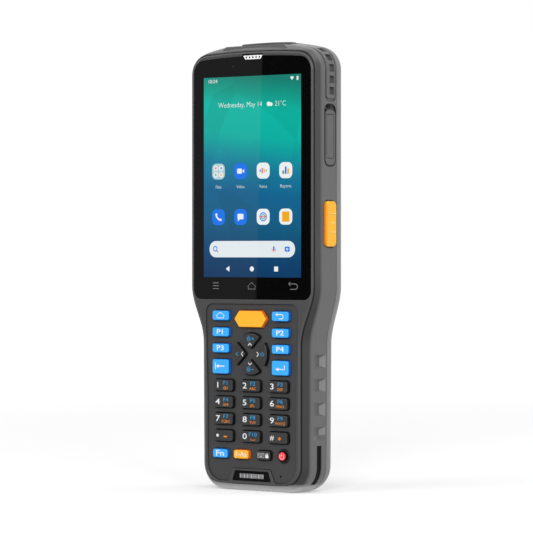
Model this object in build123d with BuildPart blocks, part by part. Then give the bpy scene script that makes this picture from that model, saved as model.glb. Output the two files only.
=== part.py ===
from build123d import *
from math import degrees, sqrt
import os

os.makedirs("parts", exist_ok=True)

# Handheld data terminal standing on its foot. Millimetres.
# X runs across the terminal, Y from the screen to the back, Z from the foot to the crown.
# Depths are counted backwards from the flat front face of the bezel.

# ---------------------------------------------------------------- driving dimensions
# casing outline, seen from the front
head_width = 68.8
handle_width = 57.8
crown_height = 194.2
crown_rise = 0.9
crown_radius = 115.0
head_corner = 10.0
foot_flat = 18.0
foot_radius = 115.0
foot_corner = 11.0
waist_low = 63.8
waist_high = 88.8
grip_flare = 0.4

# front lip, where the flared flank starts
lip_step_head = 1.2
lip_step_handle = 2.5
lip_step_crown = 3.1
lip_step_foot = 2.5
lip_crown_radius = 330.0
lip_corner = 9.0
lip_wall = 0.55

# depths and walls
lip_depth = 1.1
flank_depth = 4.4
seam_depth = 14.8
seal_thickness = 0.4
body_depth = 22.5
rear_radius = 5.9
wall = 2.4
back_wall = 2.2
crown_wall = 4.2

# bezel
bezel_gap = 0.25
bezel_thickness = 3.1
bezel_edge_depth = 0.6
bezel_slope_width = 0.7
bezel_ledge = 1.0

# screen
bezel_rim = 0.3
glass_below_crown = 5.9
glass_above_panel = 2.2
glass_top_corner = 6.0
glass_bottom_corner = 4.0
glass_thickness = 1.0
glass_sink = 0.35
lcd_side_border = 3.3
lcd_top_border = 5.6
lcd_low_border = 6.5
lcd_corner = 1.0
lcd_thickness = 2.4

# keypad
panel_below_head = 7.8
panel_bottom = 4.3
panel_top_width = 49.6
panel_low_width = 47.4
panel_taper_end = 41.8
panel_top_corner = 3.5
panel_foot_corner = 7.5
panel_depth = 0.5
panel_thickness = 1.6
panel_ledge = 1.2
key_proud = 1.1
key_travel = 0.7
key_taper = 12.0
flange_lip = 0.5
flange_thickness = 0.5
stem_radius = 1.2
bar_corner = 1.2
nub_height = 0.25
membrane_thickness = 0.5
board_thickness = 0.8

# badge below the keys
badge_top_width = 17.7
badge_bottom_width = 20.6
badge_bottom = 4.6
badge_height = 4.2
badge_rim = 1.1
badge_thickness = 0.7
badge_sink = 0.2

# clearances
fit_gap = 0.15
key_gap = 0.2
moving_gap = 0.25

# ---------------------------------------------------------------- derived places
front_y = key_proud - (body_depth + key_proud) / 2
head_side = head_width / 2
handle_side = handle_width / 2
bezel_inset = lip_wall + bezel_gap
wall_inside = head_side - wall
head_length = crown_height - waist_high
panel_top = waist_high - panel_below_head
glass_bottom = panel_top + glass_above_panel
glass_top = crown_height - glass_below_crown
glass_width = 2 * (head_side - lip_step_head - bezel_inset - bezel_slope_width - bezel_rim)
glass_seat = glass_sink + glass_thickness
lcd_width = glass_width - 2 * lcd_side_border
lcd_top = glass_top - lcd_top_border
lcd_bottom = glass_bottom + lcd_low_border
lcd_height = lcd_top - lcd_bottom
lcd_centre = (lcd_top + lcd_bottom) / 2
panel_back = panel_depth + panel_thickness
flange_depth = panel_back + fit_gap
stem_end = flange_depth + flange_thickness + key_travel
nub_depth = stem_end + key_travel + fit_gap
board_depth = nub_depth + nub_height + membrane_thickness
chassis_depth = board_depth + board_thickness
chassis_thickness = 1.0
chassis_back = chassis_depth + chassis_thickness
main_board_thickness = 1.0
main_board_depth = chassis_back + 1.2
component_depth = main_board_depth + main_board_thickness
port_shell_height = 3.2
port_shell_depth = component_depth + port_shell_height / 2
rear_front = seam_depth + seal_thickness
cavity_front = bezel_thickness + 1.5
back_inside = body_depth - back_wall


def y_at(depth):
    """Row Y of a depth behind the bezel's front face."""
    return front_y + depth


def front_plane(depth):
    """Plane that faces the viewer at a depth, with local x across and local y up."""
    return Plane.XZ.offset(-y_at(depth))


def side_plane(x):
    """Plane that faces +X, with local x running back and local y up."""
    return Plane.YZ.offset(x)


def casing_outline(
    head, handle, top, top_arc, bottom, bottom_arc, top_corner, low_corner, flare=0.0
):
    """Closed outline of the casing: arched crown, straight head, waist, handle and foot."""
    flat = foot_flat / 2
    top_centre = top - top_arc
    top_reach = top_arc - top_corner
    top_across = head - top_corner
    top_bend = top_centre + sqrt(top_reach**2 - top_across**2)
    top_touch = (
        top_across * top_arc / top_reach,
        top_centre + (top_bend - top_centre) * top_arc / top_reach,
    )
    low_centre = bottom + bottom_arc
    low_reach = bottom_arc - low_corner
    low_across = handle - low_corner - flat
    low_bend = low_centre - sqrt(low_reach**2 - low_across**2)
    low_touch = (
        flat + low_across * bottom_arc / low_reach,
        low_centre + (low_bend - low_centre) * bottom_arc / low_reach,
    )
    handle_length = (waist_high - waist_low) / 3
    with BuildSketch() as outline:
        with BuildLine():
            foot = Line((0, bottom), (flat, bottom))
            foot_arch = TangentArc(foot @ 1, low_touch, tangent=foot % 1)
            low_round = TangentArc(foot_arch @ 1, (handle, low_bend), tangent=foot_arch % 1)
            grip = Line(low_round @ 1, (handle + flare, waist_low))
            waist = Bezier(
                grip @ 1,
                (handle + flare, waist_low + handle_length),
                (head, waist_high - handle_length),
                (head, waist_high),
            )
            side = Line(waist @ 1, (head, top_bend))
            top_round = TangentArc(side @ 1, top_touch, tangent=side % 1)
            TangentArc(top_round @ 1, (0, top), tangent=top_round % 1)
            mirror(about=Plane.YZ)
        make_face()
    return outline.sketch


def lip_outline(inset):
    """Outline of the front lip, shrunk by inset."""
    return casing_outline(
        head_side - lip_step_head - inset,
        handle_side - lip_step_handle - inset,
        crown_height - lip_step_crown - inset,
        lip_crown_radius - inset,
        lip_step_foot + inset,
        foot_radius - inset,
        lip_corner - inset,
        lip_corner - inset,
    )


def side_outline(inset, rise=0.0, top_inset=None):
    """Outline of the side wall, shrunk by inset; rise lifts the crown towards the back."""
    crown_inset = inset if top_inset is None else top_inset
    return casing_outline(
        head_side - inset,
        handle_side - inset,
        crown_height + rise - crown_inset,
        crown_radius - crown_inset,
        inset,
        foot_radius - inset,
        head_corner - inset,
        foot_corner - inset,
        grip_flare,
    )


def head_bend():
    """Height where the side wall's top corner starts, halfway back."""
    reach = crown_radius - head_corner
    across = head_side - head_corner
    return crown_height + crown_rise / 2 - crown_radius + sqrt(reach**2 - across**2)


def glass_outline(grow):
    """Outline of the cover glass with its gently arched top edge."""
    half = glass_width / 2 + grow
    sagitta = lip_crown_radius - sqrt(lip_crown_radius**2 - half**2)
    top = glass_top + grow
    bottom = glass_bottom - grow
    with BuildSketch() as outline:
        with BuildLine():
            Polyline((-half, top - sagitta), (-half, bottom), (half, bottom), (half, top - sagitta))
            ThreePointArc((half, top - sagitta), (0, top), (-half, top - sagitta))
        make_face()
        fillet(outline.vertices().group_by(Axis.Y)[-1], radius=glass_top_corner)
        fillet(outline.vertices().group_by(Axis.Y)[0], radius=glass_bottom_corner)
    return outline.sketch


def panel_outline(grow):
    """Outline of the keypad panel, notched at its foot for the badge's surround."""
    top_half = panel_top_width / 2 + grow
    low_half = panel_low_width / 2 + grow
    notch_low = badge_bottom_width / 2 + 2 * badge_rim - grow
    notch_top = badge_top_width / 2 + badge_rim - grow
    notch_height = badge_bottom + badge_height + badge_rim - grow
    top = panel_top + grow
    bottom = panel_bottom - grow
    with BuildSketch() as outline:
        with BuildLine():
            Polyline(
                (notch_top, notch_height),
                (notch_low, bottom),
                (low_half, bottom),
                (low_half, panel_taper_end),
                (top_half, top),
                (-top_half, top),
                (-low_half, panel_taper_end),
                (-low_half, bottom),
                (-notch_low, bottom),
                (-notch_top, notch_height),
                close=True,
            )
        make_face()
        foot_corners = outline.vertices().group_by(Axis.Y)[0].sort_by(Axis.X)
        fillet([foot_corners[0], foot_corners[-1]], radius=panel_foot_corner + grow)
        fillet(outline.vertices().group_by(Axis.Y)[-1], radius=panel_top_corner + grow)
    return outline.sketch


def badge_outline(grow):
    """Trapezoid of the badge plate."""
    low = badge_bottom_width / 2 + grow
    top = badge_top_width / 2 + grow
    with BuildSketch() as outline:
        with BuildLine():
            Polyline(
                (-low, badge_bottom - grow),
                (low, badge_bottom - grow),
                (top, badge_bottom + badge_height + grow),
                (-top, badge_bottom + badge_height + grow),
                close=True,
            )
        make_face()
        fillet(outline.vertices(), radius=0.5)
    return outline.sketch


# ---------------------------------------------------------------- key layout
column = 16.0
number_column = 14.6
number_pitch = 7.3
number_top = 45.7
function_row = 16.0
pad_below_panel = 21.5
pad_radius = 9.2
pad_half_gap = 1.5
pad_corner = 0.9
hexagon_corner = 0.7
hexagon_slope = 0.75
scan_key_below_panel = 6.35
key_top_round = 0.3
pad_centre = panel_top - pad_below_panel
scan_row = panel_top - scan_key_below_panel
home_row = panel_top - 5.0
p1_row = home_row - 7.2
p3_row = p1_row - 7.0
tab_row = p3_row - 8.0

# name: shape, x, z, width, height
keys = {
    "key_home": ("bar", -column, home_row, 9.3, 4.6),
    "key_return": ("bar", column, home_row, 9.3, 4.6),
    "key_p1": ("bar", -column, p1_row, 9.3, 4.3),
    "key_p2": ("bar", column, p1_row, 9.3, 4.3),
    "key_p3": ("bar", -column, p3_row, 9.3, 4.3),
    "key_p4": ("bar", column, p3_row, 9.3, 4.3),
    "key_tab": ("bar", -column, tab_row, 9.3, 6.7),
    "key_enter": ("bar", column, tab_row, 9.3, 6.7),
    "key_scan": ("hexagon", 0, scan_row, 17.7, 7.5),
    "key_up": ("fan", 0, pad_centre, 0, 0),
    "key_left": ("fan", 0, pad_centre, 90, 0),
    "key_down": ("fan", 0, pad_centre, 180, 0),
    "key_right": ("fan", 0, pad_centre, 270, 0),
    "key_fn": ("bar", -16.2, function_row, 8.4, 4.2),
    "key_mode": ("bar", -4.9, function_row, 8.4, 4.2),
    "key_lock": ("bar", 6.9, function_row, 7.9, 4.2),
    "key_power": ("round", 17.0, function_row, 4.2, 4.2),
}
number_names = ["1", "2", "3", "4", "5", "6", "7", "8", "9", "point", "0", "hash"]
for number, number_name in enumerate(number_names):
    number_x = number_column * (number % 3 - 1)
    number_z = number_top - number_pitch * (number // 3)
    keys["key_" + number_name] = ("bar", number_x, number_z, 10.8, 5.2)


def fan_outline(grow):
    """One arrow key of the round pad: a quarter disc with its corners eased."""
    apex = sqrt(2) * (pad_half_gap - grow)
    rim = pad_radius + grow
    corner_z = (apex + sqrt(2 * rim**2 - apex**2)) / 2
    with BuildSketch() as outline:
        with BuildLine():
            Polyline((corner_z - apex, corner_z), (0, apex), (apex - corner_z, corner_z))
            ThreePointArc((corner_z - apex, corner_z), (0, rim), (apex - corner_z, corner_z))
        make_face()
        fillet(outline.vertices(), radius=pad_corner)
    return outline.sketch


def hexagon_outline(width, height, grow):
    """Flat-topped hexagon with a point at each end."""
    tip = width / 2 + grow * sqrt(1 + hexagon_slope**2)
    half = height / 2 + grow
    flat = tip - half * hexagon_slope
    with BuildSketch() as outline:
        with BuildLine():
            Polyline(
                (tip, 0),
                (flat, half),
                (-flat, half),
                (-tip, 0),
                (-flat, -half),
                (flat, -half),
                close=True,
            )
        make_face()
        fillet(outline.vertices(), radius=hexagon_corner)
    return outline.sketch


def key_outline(shape, width, height, grow):
    """Outline of one key about its own centre, grown by grow."""
    if shape == "fan":
        return fan_outline(grow).rotate(Axis.Z, width)
    if shape == "hexagon":
        return hexagon_outline(width, height, grow)
    with BuildSketch() as outline:
        if shape == "round":
            Circle(width / 2 + grow)
        else:
            RectangleRounded(width + 2 * grow, height + 2 * grow, bar_corner + grow)
    return outline.sketch


def key_centre(shape, x, z, angle):
    """Middle of a key, where its stem stands."""
    if shape != "fan":
        return (x, z)
    reach = (sqrt(2) * pad_half_gap + pad_radius) / 2
    across = {0: 0, 90: -reach, 180: 0, 270: reach}[angle]
    up = {0: reach, 90: 0, 180: -reach, 270: 0}[angle]
    return (x + across, z + up)


# ---------------------------------------------------------------- keys
key_parts = {}
for key_name, (shape, x, z, width, height) in keys.items():
    flange = key_outline(shape, width, height, flange_lip)
    shaft = key_outline(shape, width, height, 0)
    with BuildPart() as key:
        with BuildSketch(front_plane(flange_depth)):
            with Locations((x, z)):
                add(flange)
        extrude(amount=-flange_thickness)
        with BuildSketch(front_plane(flange_depth)):
            with Locations((x, z)):
                add(shaft)
        extrude(amount=flange_depth - panel_depth)
        with BuildSketch(front_plane(panel_depth)):
            with Locations((x, z)):
                add(shaft)
        extrude(amount=panel_depth + key_proud, taper=key_taper)
        fillet(key.faces().sort_by(Axis.Y)[0].edges(), radius=key_top_round)
        with BuildSketch(front_plane(flange_depth + flange_thickness)):
            with Locations(key_centre(shape, x, z, width)):
                Circle(stem_radius)
        extrude(amount=-(stem_end - flange_depth - flange_thickness))
    key.part.label = key_name
    key_parts[key_name] = key.part
    export_step(key.part, "parts/" + key_name + ".step")

# ---------------------------------------------------------------- keypad panel
mic_hole_radius = 0.5
mic_x = 15.2
mic_z = 7.2
with BuildPart() as keypad_panel:
    with BuildSketch(front_plane(panel_depth)):
        add(panel_outline(0))
    extrude(amount=-panel_thickness)
    for shape, x, z, width, height in keys.values():
        opening = key_outline(shape, width, height, key_gap)
        with BuildSketch(front_plane(panel_depth)):
            with Locations((x, z)):
                add(opening)
        extrude(amount=-panel_thickness, mode=Mode.SUBTRACT)
    with BuildSketch(front_plane(panel_depth)):
        with Locations((mic_x, mic_z)):
            Circle(mic_hole_radius)
    extrude(amount=-panel_thickness, mode=Mode.SUBTRACT)
keypad_panel.part.label = "keypad_panel"
export_step(keypad_panel.part, "parts/keypad_panel.step")

# ---------------------------------------------------------------- silicone membrane
membrane_inset = 2.6
nub_radius = 1.6
with BuildPart() as keypad_membrane:
    with BuildSketch(front_plane(nub_depth + nub_height)):
        add(panel_outline(-membrane_inset))
    extrude(amount=-membrane_thickness)
    with BuildSketch(front_plane(nub_depth + nub_height)):
        for shape, x, z, width, height in keys.values():
            with Locations(key_centre(shape, x, z, width)):
                Circle(nub_radius)
    extrude(amount=nub_height)
keypad_membrane.part.label = "keypad_membrane"
export_step(keypad_membrane.part, "parts/keypad_membrane.step")

# ---------------------------------------------------------------- keypad circuit board
with BuildPart() as keypad_board:
    with BuildSketch(front_plane(board_depth)):
        add(panel_outline(-panel_ledge))
    extrude(amount=-board_thickness)
keypad_board.part.label = "keypad_board"
export_step(keypad_board.part, "parts/keypad_board.step")

# ---------------------------------------------------------------- badge plate
with BuildPart() as badge_plate:
    with BuildSketch(front_plane(badge_sink)):
        add(badge_outline(0))
    extrude(amount=-badge_thickness)
badge_plate.part.label = "badge_plate"
export_step(badge_plate.part, "parts/badge_plate.step")

# ---------------------------------------------------------------- earpiece
ear_x = 0.4
ear_top_width = 10.6
ear_bottom_width = 8.2
ear_height = 1.75
ear_below_glass = 0.45
ear_corner = 0.3
ear_frame = 0.45
ear_depth = 0.5
ear_hole_radius = 0.4
ear_hole_pitch = 1.75
ear_hole_count = 5
receiver_width = 12.0
receiver_height = 5.0
receiver_thickness = 2.4
receiver_corner = 0.8
ear_centre = glass_top - ear_below_glass


def ear_outline(grow):
    """Trapezoid of the earpiece grille, wider at its top."""
    top = ear_top_width / 2 + grow
    low = ear_bottom_width / 2 + grow
    with BuildSketch() as outline:
        with BuildLine():
            Polyline(
                (ear_x - low, ear_centre - ear_height / 2 - grow),
                (ear_x + low, ear_centre - ear_height / 2 - grow),
                (ear_x + top, ear_centre + ear_height / 2 + grow),
                (ear_x - top, ear_centre + ear_height / 2 + grow),
                close=True,
            )
        make_face()
        fillet(outline.vertices(), radius=ear_corner)
    return outline.sketch


with BuildPart() as earpiece_grille:
    with BuildSketch(front_plane(ear_depth)):
        add(ear_outline(0))
        with Locations((ear_x, ear_centre)):
            with GridLocations(ear_hole_pitch, 0, ear_hole_count, 1):
                Circle(ear_hole_radius, mode=Mode.SUBTRACT)
    extrude(amount=-(glass_seat - ear_depth))
earpiece_grille.part.label = "earpiece_grille"
export_step(earpiece_grille.part, "parts/earpiece_grille.step")

with BuildPart() as earpiece_receiver:
    with BuildSketch(front_plane(bezel_thickness)):
        with Locations((ear_x, ear_centre - receiver_height / 2)):
            RectangleRounded(receiver_width, receiver_height, receiver_corner)
    extrude(amount=-receiver_thickness)
earpiece_receiver.part.label = "earpiece_receiver"
export_step(earpiece_receiver.part, "parts/earpiece_receiver.step")

# ---------------------------------------------------------------- cover glass
with BuildPart() as cover_glass:
    with BuildSketch(front_plane(glass_sink)):
        add(glass_outline(0))
        add(ear_outline(ear_frame))
        add(ear_outline(fit_gap), mode=Mode.SUBTRACT)
    extrude(amount=-glass_thickness)
cover_glass.part.label = "cover_glass"
export_step(cover_glass.part, "parts/cover_glass.step")

# ---------------------------------------------------------------- display module
with BuildPart() as lcd_module:
    with BuildSketch(front_plane(glass_seat)):
        with Locations((0, lcd_centre)):
            RectangleRounded(lcd_width, lcd_height, lcd_corner)
    extrude(amount=-lcd_thickness)
lcd_module.part.label = "lcd_module"
export_step(lcd_module.part, "parts/lcd_module.step")

# ---------------------------------------------------------------- front bezel
ear_slot_width = 8.0
ear_slot_height = 1.0
with BuildPart() as front_bezel:
    with BuildSketch(front_plane(bezel_edge_depth)):
        add(lip_outline(bezel_inset))
    extrude(amount=-(bezel_thickness - bezel_edge_depth))
    with BuildSketch(front_plane(bezel_edge_depth)):
        add(lip_outline(bezel_inset))
    with BuildSketch(front_plane(0)):
        add(lip_outline(bezel_inset + bezel_slope_width))
    loft(ruled=True)
    with BuildSketch(front_plane(0)):
        add(glass_outline(fit_gap))
        add(ear_outline(ear_frame + fit_gap))
    extrude(amount=-glass_seat, mode=Mode.SUBTRACT)
    with BuildSketch(front_plane(0)):
        with Locations((0, lcd_centre)):
            RectangleRounded(lcd_width + 2 * fit_gap, lcd_height + 2 * fit_gap, lcd_corner)
    extrude(amount=-bezel_thickness, mode=Mode.SUBTRACT)
    with BuildSketch(front_plane(0)):
        add(panel_outline(fit_gap))
    extrude(amount=-panel_back, mode=Mode.SUBTRACT)
    with BuildSketch(front_plane(0)):
        add(panel_outline(-panel_ledge))
    extrude(amount=-bezel_thickness, mode=Mode.SUBTRACT)
    with BuildSketch(front_plane(0)):
        add(badge_outline(fit_gap))
    extrude(amount=-(badge_sink + badge_thickness), mode=Mode.SUBTRACT)
    with BuildSketch(front_plane(0)):
        with Locations((ear_x, ear_centre)):
            Rectangle(ear_slot_width, ear_slot_height)
    extrude(amount=-bezel_thickness, mode=Mode.SUBTRACT)
front_bezel.part.label = "front_bezel"
export_step(front_bezel.part, "parts/front_bezel.step")

# ---------------------------------------------------------------- side features, drawn on the right
# ventilated strip over the top corner
vent_front = 6.4
vent_back = 14.4
vent_above_port = 1.25
vent_wrap = 12.5
vent_side_reach = 10.4
vent_corner = 2.4
vent_island_corner = 1.3
vent_groove_depth = 0.7
vent_groove_front = 1.3
vent_groove_back = 0.6
vent_notch_height = 3.2
vent_notch_depth = 1.4
vent_notch_front = 9.35
vent_notch_back = 13.3
vent_notch_above_end = 4.6
vent_notch_pitch = 4.9
vent_notch_lead = 0.2
# finger notches down the handle
grip_front = 5.6
grip_deepest = 11.1
grip_back = 14.3
grip_depth = 1.3
grip_height = 5.5
grip_draft = 1.0
grip_first = 25.65
grip_pitch = 10.3
grip_count = 4
# black strip round the foot's corner
strip_front = 8.1
strip_width = 3.6
strip_top = 20.4
strip_end = 3.6
strip_slot_depth = 1.3
strip_sink = 0.5
# port cover on the right side
port_front = 6.2
port_width = 7.9
port_place = 0.4905
port_length = 26.3
port_finger_gap = 1.9
port_recess = 1.2
port_corner = 3.0
port_proud = 0.1
plug_length = 7.6
plug_width = 2.4
plug_reach = 0.8
port_opening_length = 9.4
port_opening_width = 3.6
# trigger key
trigger_front = 5.8
trigger_width = 7.7
trigger_place = 0.2545
trigger_length = 19.5
trigger_gap = 0.45
trigger_proud = 1.4
trigger_travel = 0.6
trigger_recess = 1.5
trigger_cap_sink = 0.7
trigger_corner = 2.2
trigger_neck_front = 7.7
trigger_neck_width = 4.4
trigger_neck_length = 16.0
trigger_flange_length = 18.6
trigger_flange_thickness = 0.8
trigger_stem_radius = 1.4
trigger_rib_width = 3.6
trigger_rib_height = 0.5
trigger_rib_proud = 0.2
trigger_rib_pitch = 3.9
trigger_rib_count = 3
trigger_rib_edge = 1.0
trigger_rib_rise = 0.4
trigger_round = 0.6
trigger_neck_corner = 1.0
trigger_stem_length = 2.0
side_band_out = 1.0

port_low = waist_high + port_place * head_length
vent_low = port_low + port_length + vent_above_port
vent_reach = head_side - vent_side_reach
vent_notch_first = vent_low + vent_notch_above_end
vent_notch_count = 1 + int((head_bend() + vent_wrap - vent_notch_first) / vent_notch_pitch)
trigger_middle = waist_high + trigger_place * head_length
trigger_y = y_at(trigger_front + trigger_width / 2)
neck_y = y_at(trigger_neck_front + trigger_neck_width / 2)
recess_floor = head_side - trigger_recess

with BuildPart() as vent_groove:
    with BuildSketch(front_plane(flank_depth)):
        add(side_outline(-side_band_out))
    with BuildSketch(front_plane(seam_depth)):
        add(side_outline(-side_band_out, crown_rise))
    loft(ruled=True)
    with BuildSketch(front_plane(flank_depth)):
        add(side_outline(vent_groove_depth))
    with BuildSketch(front_plane(seam_depth)):
        add(side_outline(vent_groove_depth, crown_rise))
    loft(ruled=True, mode=Mode.SUBTRACT)
    vent_width = vent_back - vent_front
    vent_span = 2 * (crown_height - vent_low)
    with BuildSketch(side_plane(vent_reach)):
        with Locations((y_at(vent_front + vent_width / 2), vent_low + vent_span / 2)):
            RectangleRounded(vent_width, vent_span, vent_corner)
    extrude(amount=head_width, mode=Mode.INTERSECT)
    island_width = vent_width - vent_groove_front - vent_groove_back
    island_front = vent_front + vent_groove_front
    island_low = vent_low + vent_groove_front
    with BuildSketch(side_plane(vent_reach)):
        with Locations((y_at(island_front + island_width / 2), island_low + vent_span / 2)):
            RectangleRounded(island_width, vent_span, vent_island_corner)
    extrude(amount=head_width, mode=Mode.SUBTRACT)

grip_steps = []
for step in range(grip_count):
    grip_z = grip_first + step * grip_pitch
    grip_steps.append((grip_flare * grip_z / waist_low, 0, grip_z))

notch_steps = []
for step in range(vent_notch_count):
    run = vent_notch_first + step * vent_notch_pitch - head_bend()
    turn = max(run, 0) / head_corner
    corner = Location((head_side - head_corner, 0, head_bend()), (0, -degrees(turn), 0))
    notch_steps.append(corner * Location((head_corner, 0, min(run, 0))))

with BuildPart() as vent_notch:
    with BuildSketch(Plane.XY):
        with BuildLine():
            Polyline(
                (side_band_out, y_at(vent_notch_front)),
                (-vent_notch_lead, y_at(vent_notch_front)),
                (-vent_notch_depth, y_at(vent_notch_back)),
                (side_band_out, y_at(vent_notch_back)),
                close=True,
            )
        make_face()
    extrude(amount=vent_notch_height / 2, both=True)

with BuildPart() as grip_notch:
    with BuildSketch(Plane.XY):
        with BuildLine():
            Polyline(
                (handle_side + side_band_out, y_at(grip_front)),
                (handle_side, y_at(grip_front)),
                (handle_side - grip_depth, y_at(grip_deepest)),
                (handle_side, y_at(grip_back)),
                (handle_side + side_band_out, y_at(grip_back)),
                close=True,
            )
        make_face()
    extrude(amount=grip_height, both=True)
    with BuildSketch(Plane.XZ):
        with BuildLine():
            Polyline(
                (handle_side + side_band_out, grip_height / 2 + grip_draft),
                (handle_side - grip_depth, grip_height / 2 - grip_draft),
                (handle_side - grip_depth, grip_draft - grip_height / 2),
                (handle_side + side_band_out, -grip_height / 2 - grip_draft),
                close=True,
            )
        make_face()
    extrude(amount=body_depth, both=True, mode=Mode.INTERSECT)


def corner_band(outer, inner):
    """Band that follows the foot's corner, from one inset of the side wall to another."""
    with BuildPart() as band:
        with BuildSketch(front_plane(strip_front)):
            add(side_outline(outer))
            add(side_outline(inner), mode=Mode.SUBTRACT)
        extrude(amount=-strip_width)
        with BuildSketch(front_plane(strip_front)):
            with Locations((handle_side, (strip_top + strip_end) / 2)):
                Rectangle(2 * foot_corner, strip_top - strip_end)
        extrude(amount=-strip_width, mode=Mode.INTERSECT)
    return band.part


with BuildPart() as side_cuts:
    add(vent_groove.part)
    with Locations(*notch_steps):
        add(vent_notch.part)
    with Locations(*grip_steps):
        add(grip_notch.part)
    add(corner_band(-side_band_out, strip_slot_depth))
    with BuildSketch(side_plane(recess_floor)):
        with Locations((trigger_y, trigger_middle)):
            RectangleRounded(
                trigger_width + 2 * trigger_gap,
                trigger_length + 2 * trigger_gap,
                trigger_corner + trigger_gap,
            )
    extrude(amount=trigger_recess + side_band_out)
    with BuildSketch(side_plane(wall_inside - side_band_out)):
        with Locations((neck_y, trigger_middle)):
            RectangleRounded(
                trigger_neck_width + 2 * moving_gap,
                trigger_neck_length + 2 * moving_gap,
                trigger_neck_corner + moving_gap,
            )
    extrude(amount=wall + side_band_out)

# ---------------------------------------------------------------- corner strips
with BuildPart() as corner_strips:
    right_strip = add(corner_band(strip_sink, strip_slot_depth))
    mirror(right_strip, about=Plane.YZ)
corner_strips.part.label = "corner_strips"
export_step(corner_strips.part, "parts/corner_strips.step")

# ---------------------------------------------------------------- main frame
# scan window hood on the crown
hood_half = 17.0
hood_front = 2.4
hood_back = 14.2
hood_below_crown = 2.9
hood_radius = 1200.0
hood_top_drop = 1.1
hood_rear_rise = 1.7
hood_side_slope = 1.6
hood_side_drop = 1.2
hood_rear_step = 2.2
hood_rear_slope = 1.4
hood_rear_ease = 0.2
hood_bar = 3.2
hood_rear_bar = 2.6
window_half = 12.0
window_above_seat = 0.8
window_thickness = 0.9
window_ledge = 1.0
light_half = 10.5
# screws
screw_radius = 1.0
screw_head_radius = 1.8
screw_head_height = 1.4
boss_radius = 2.5
boss_depth = 8.4
rib_width = 1.6
screw_head_sink = 0.3
screw_off_wall = 4.4
top_screw_below_crown = 16.2
waist_screw_above_waist = 9.2
lower_screw_x = 17.5
lower_screw_z = 7.6
# charging contacts in the foot
contact_radius = 0.8
contact_pitch = 4.0
contact_count = 4
contact_depth = 9.6
contact_length = 3.4
contact_sink = 0.2

hood_seat = crown_height - hood_below_crown
hood_top = crown_height - hood_top_drop
hood_rear_top = hood_top + hood_rear_rise
window_seat = hood_seat + window_above_seat
upper_screw_x = wall_inside - screw_off_wall
upper_screws = (crown_height - top_screw_below_crown, waist_high + waist_screw_above_waist)
port_y = y_at(port_front + port_width / 2)
shell_y = y_at(port_shell_depth)
port_middle = port_low + (port_length - port_finger_gap) / 2
upper_points = [(side * upper_screw_x, z) for side in (-1, 1) for z in upper_screws]
lower_points = [(side * lower_screw_x, lower_screw_z) for side in (-1, 1)]
screw_points = upper_points + lower_points


def cavity_outline():
    """Inside of the side wall, thicker at the crown for the scan window."""
    return side_outline(wall, 0, crown_wall)


with BuildPart() as main_frame:
    with BuildSketch(front_plane(lip_depth)):
        add(lip_outline(0))
    with BuildSketch(front_plane(flank_depth)):
        add(side_outline(0))
    loft(ruled=True)
    with BuildSketch(front_plane(flank_depth)):
        add(side_outline(0))
    with BuildSketch(front_plane(seam_depth)):
        add(side_outline(0, crown_rise))
    loft(ruled=True)
    with BuildSketch(front_plane(lip_depth)):
        add(lip_outline(lip_wall))
    extrude(amount=-(bezel_thickness - lip_depth), mode=Mode.SUBTRACT)
    with BuildSketch(front_plane(bezel_thickness)):
        add(lip_outline(bezel_inset + bezel_ledge))
    extrude(amount=-(cavity_front - bezel_thickness), mode=Mode.SUBTRACT)
    with BuildSketch(front_plane(cavity_front)):
        add(cavity_outline())
    extrude(amount=-(seam_depth - cavity_front), mode=Mode.SUBTRACT)
    # bosses, each tied to the wall by a rib
    with BuildSketch(front_plane(boss_depth)):
        with Locations(*screw_points):
            Circle(boss_radius)
        for side in (-1, 1):
            for z in upper_screws:
                with Locations((side * (upper_screw_x + wall_inside + wall / 2) / 2, z)):
                    Rectangle(wall_inside + wall / 2 - upper_screw_x, rib_width)
            with Locations((side * lower_screw_x, (lower_screw_z + wall / 2) / 2)):
                Rectangle(rib_width, lower_screw_z - wall / 2)
    extrude(amount=-(seam_depth - boss_depth))
    with BuildSketch(front_plane(boss_depth)):
        with Locations(*screw_points):
            Circle(screw_radius)
    extrude(amount=-(seam_depth - boss_depth), mode=Mode.SUBTRACT)
    # side features
    add(side_cuts.part, mode=Mode.SUBTRACT)
    mirror(side_cuts.part, about=Plane.YZ, mode=Mode.SUBTRACT)
    with BuildSketch(side_plane(head_side - port_recess)):
        with Locations((port_y, port_low + port_length / 2 - key_gap / 2)):
            RectangleRounded(port_width + 2 * key_gap, port_length + key_gap, port_corner)
    extrude(amount=port_recess + side_band_out, mode=Mode.SUBTRACT)
    with BuildSketch(side_plane(wall_inside - side_band_out)):
        with Locations((shell_y, port_middle)):
            RectangleRounded(port_opening_width, port_opening_length, 1.0)
    extrude(amount=wall + side_band_out, mode=Mode.SUBTRACT)
    # seat of the scan window hood and the light path under it
    with BuildSketch(Plane.XY.offset(hood_seat)):
        with Locations((0, y_at((hood_front + hood_back) / 2))):
            Rectangle(2 * (hood_half + fit_gap), hood_back - hood_front + 2 * fit_gap)
    extrude(amount=crown_wall * 2, mode=Mode.SUBTRACT)
    light_front = hood_front + hood_bar + window_ledge
    light_back = hood_back - hood_rear_bar - window_ledge
    with BuildSketch(Plane.XY.offset(hood_seat - crown_wall * 2)):
        with Locations((0, y_at((light_front + light_back) / 2))):
            Rectangle(2 * light_half, light_back - light_front)
    extrude(amount=crown_wall * 3, mode=Mode.SUBTRACT)
    # charging contact holes
    with BuildSketch(Plane.XY):
        with Locations((0, y_at(contact_depth))):
            with GridLocations(contact_pitch, 0, contact_count, 1):
                Circle(contact_radius)
    extrude(amount=wall * 2, mode=Mode.SUBTRACT)
main_frame.part.label = "main_frame"
export_step(main_frame.part, "parts/main_frame.step")

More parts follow.
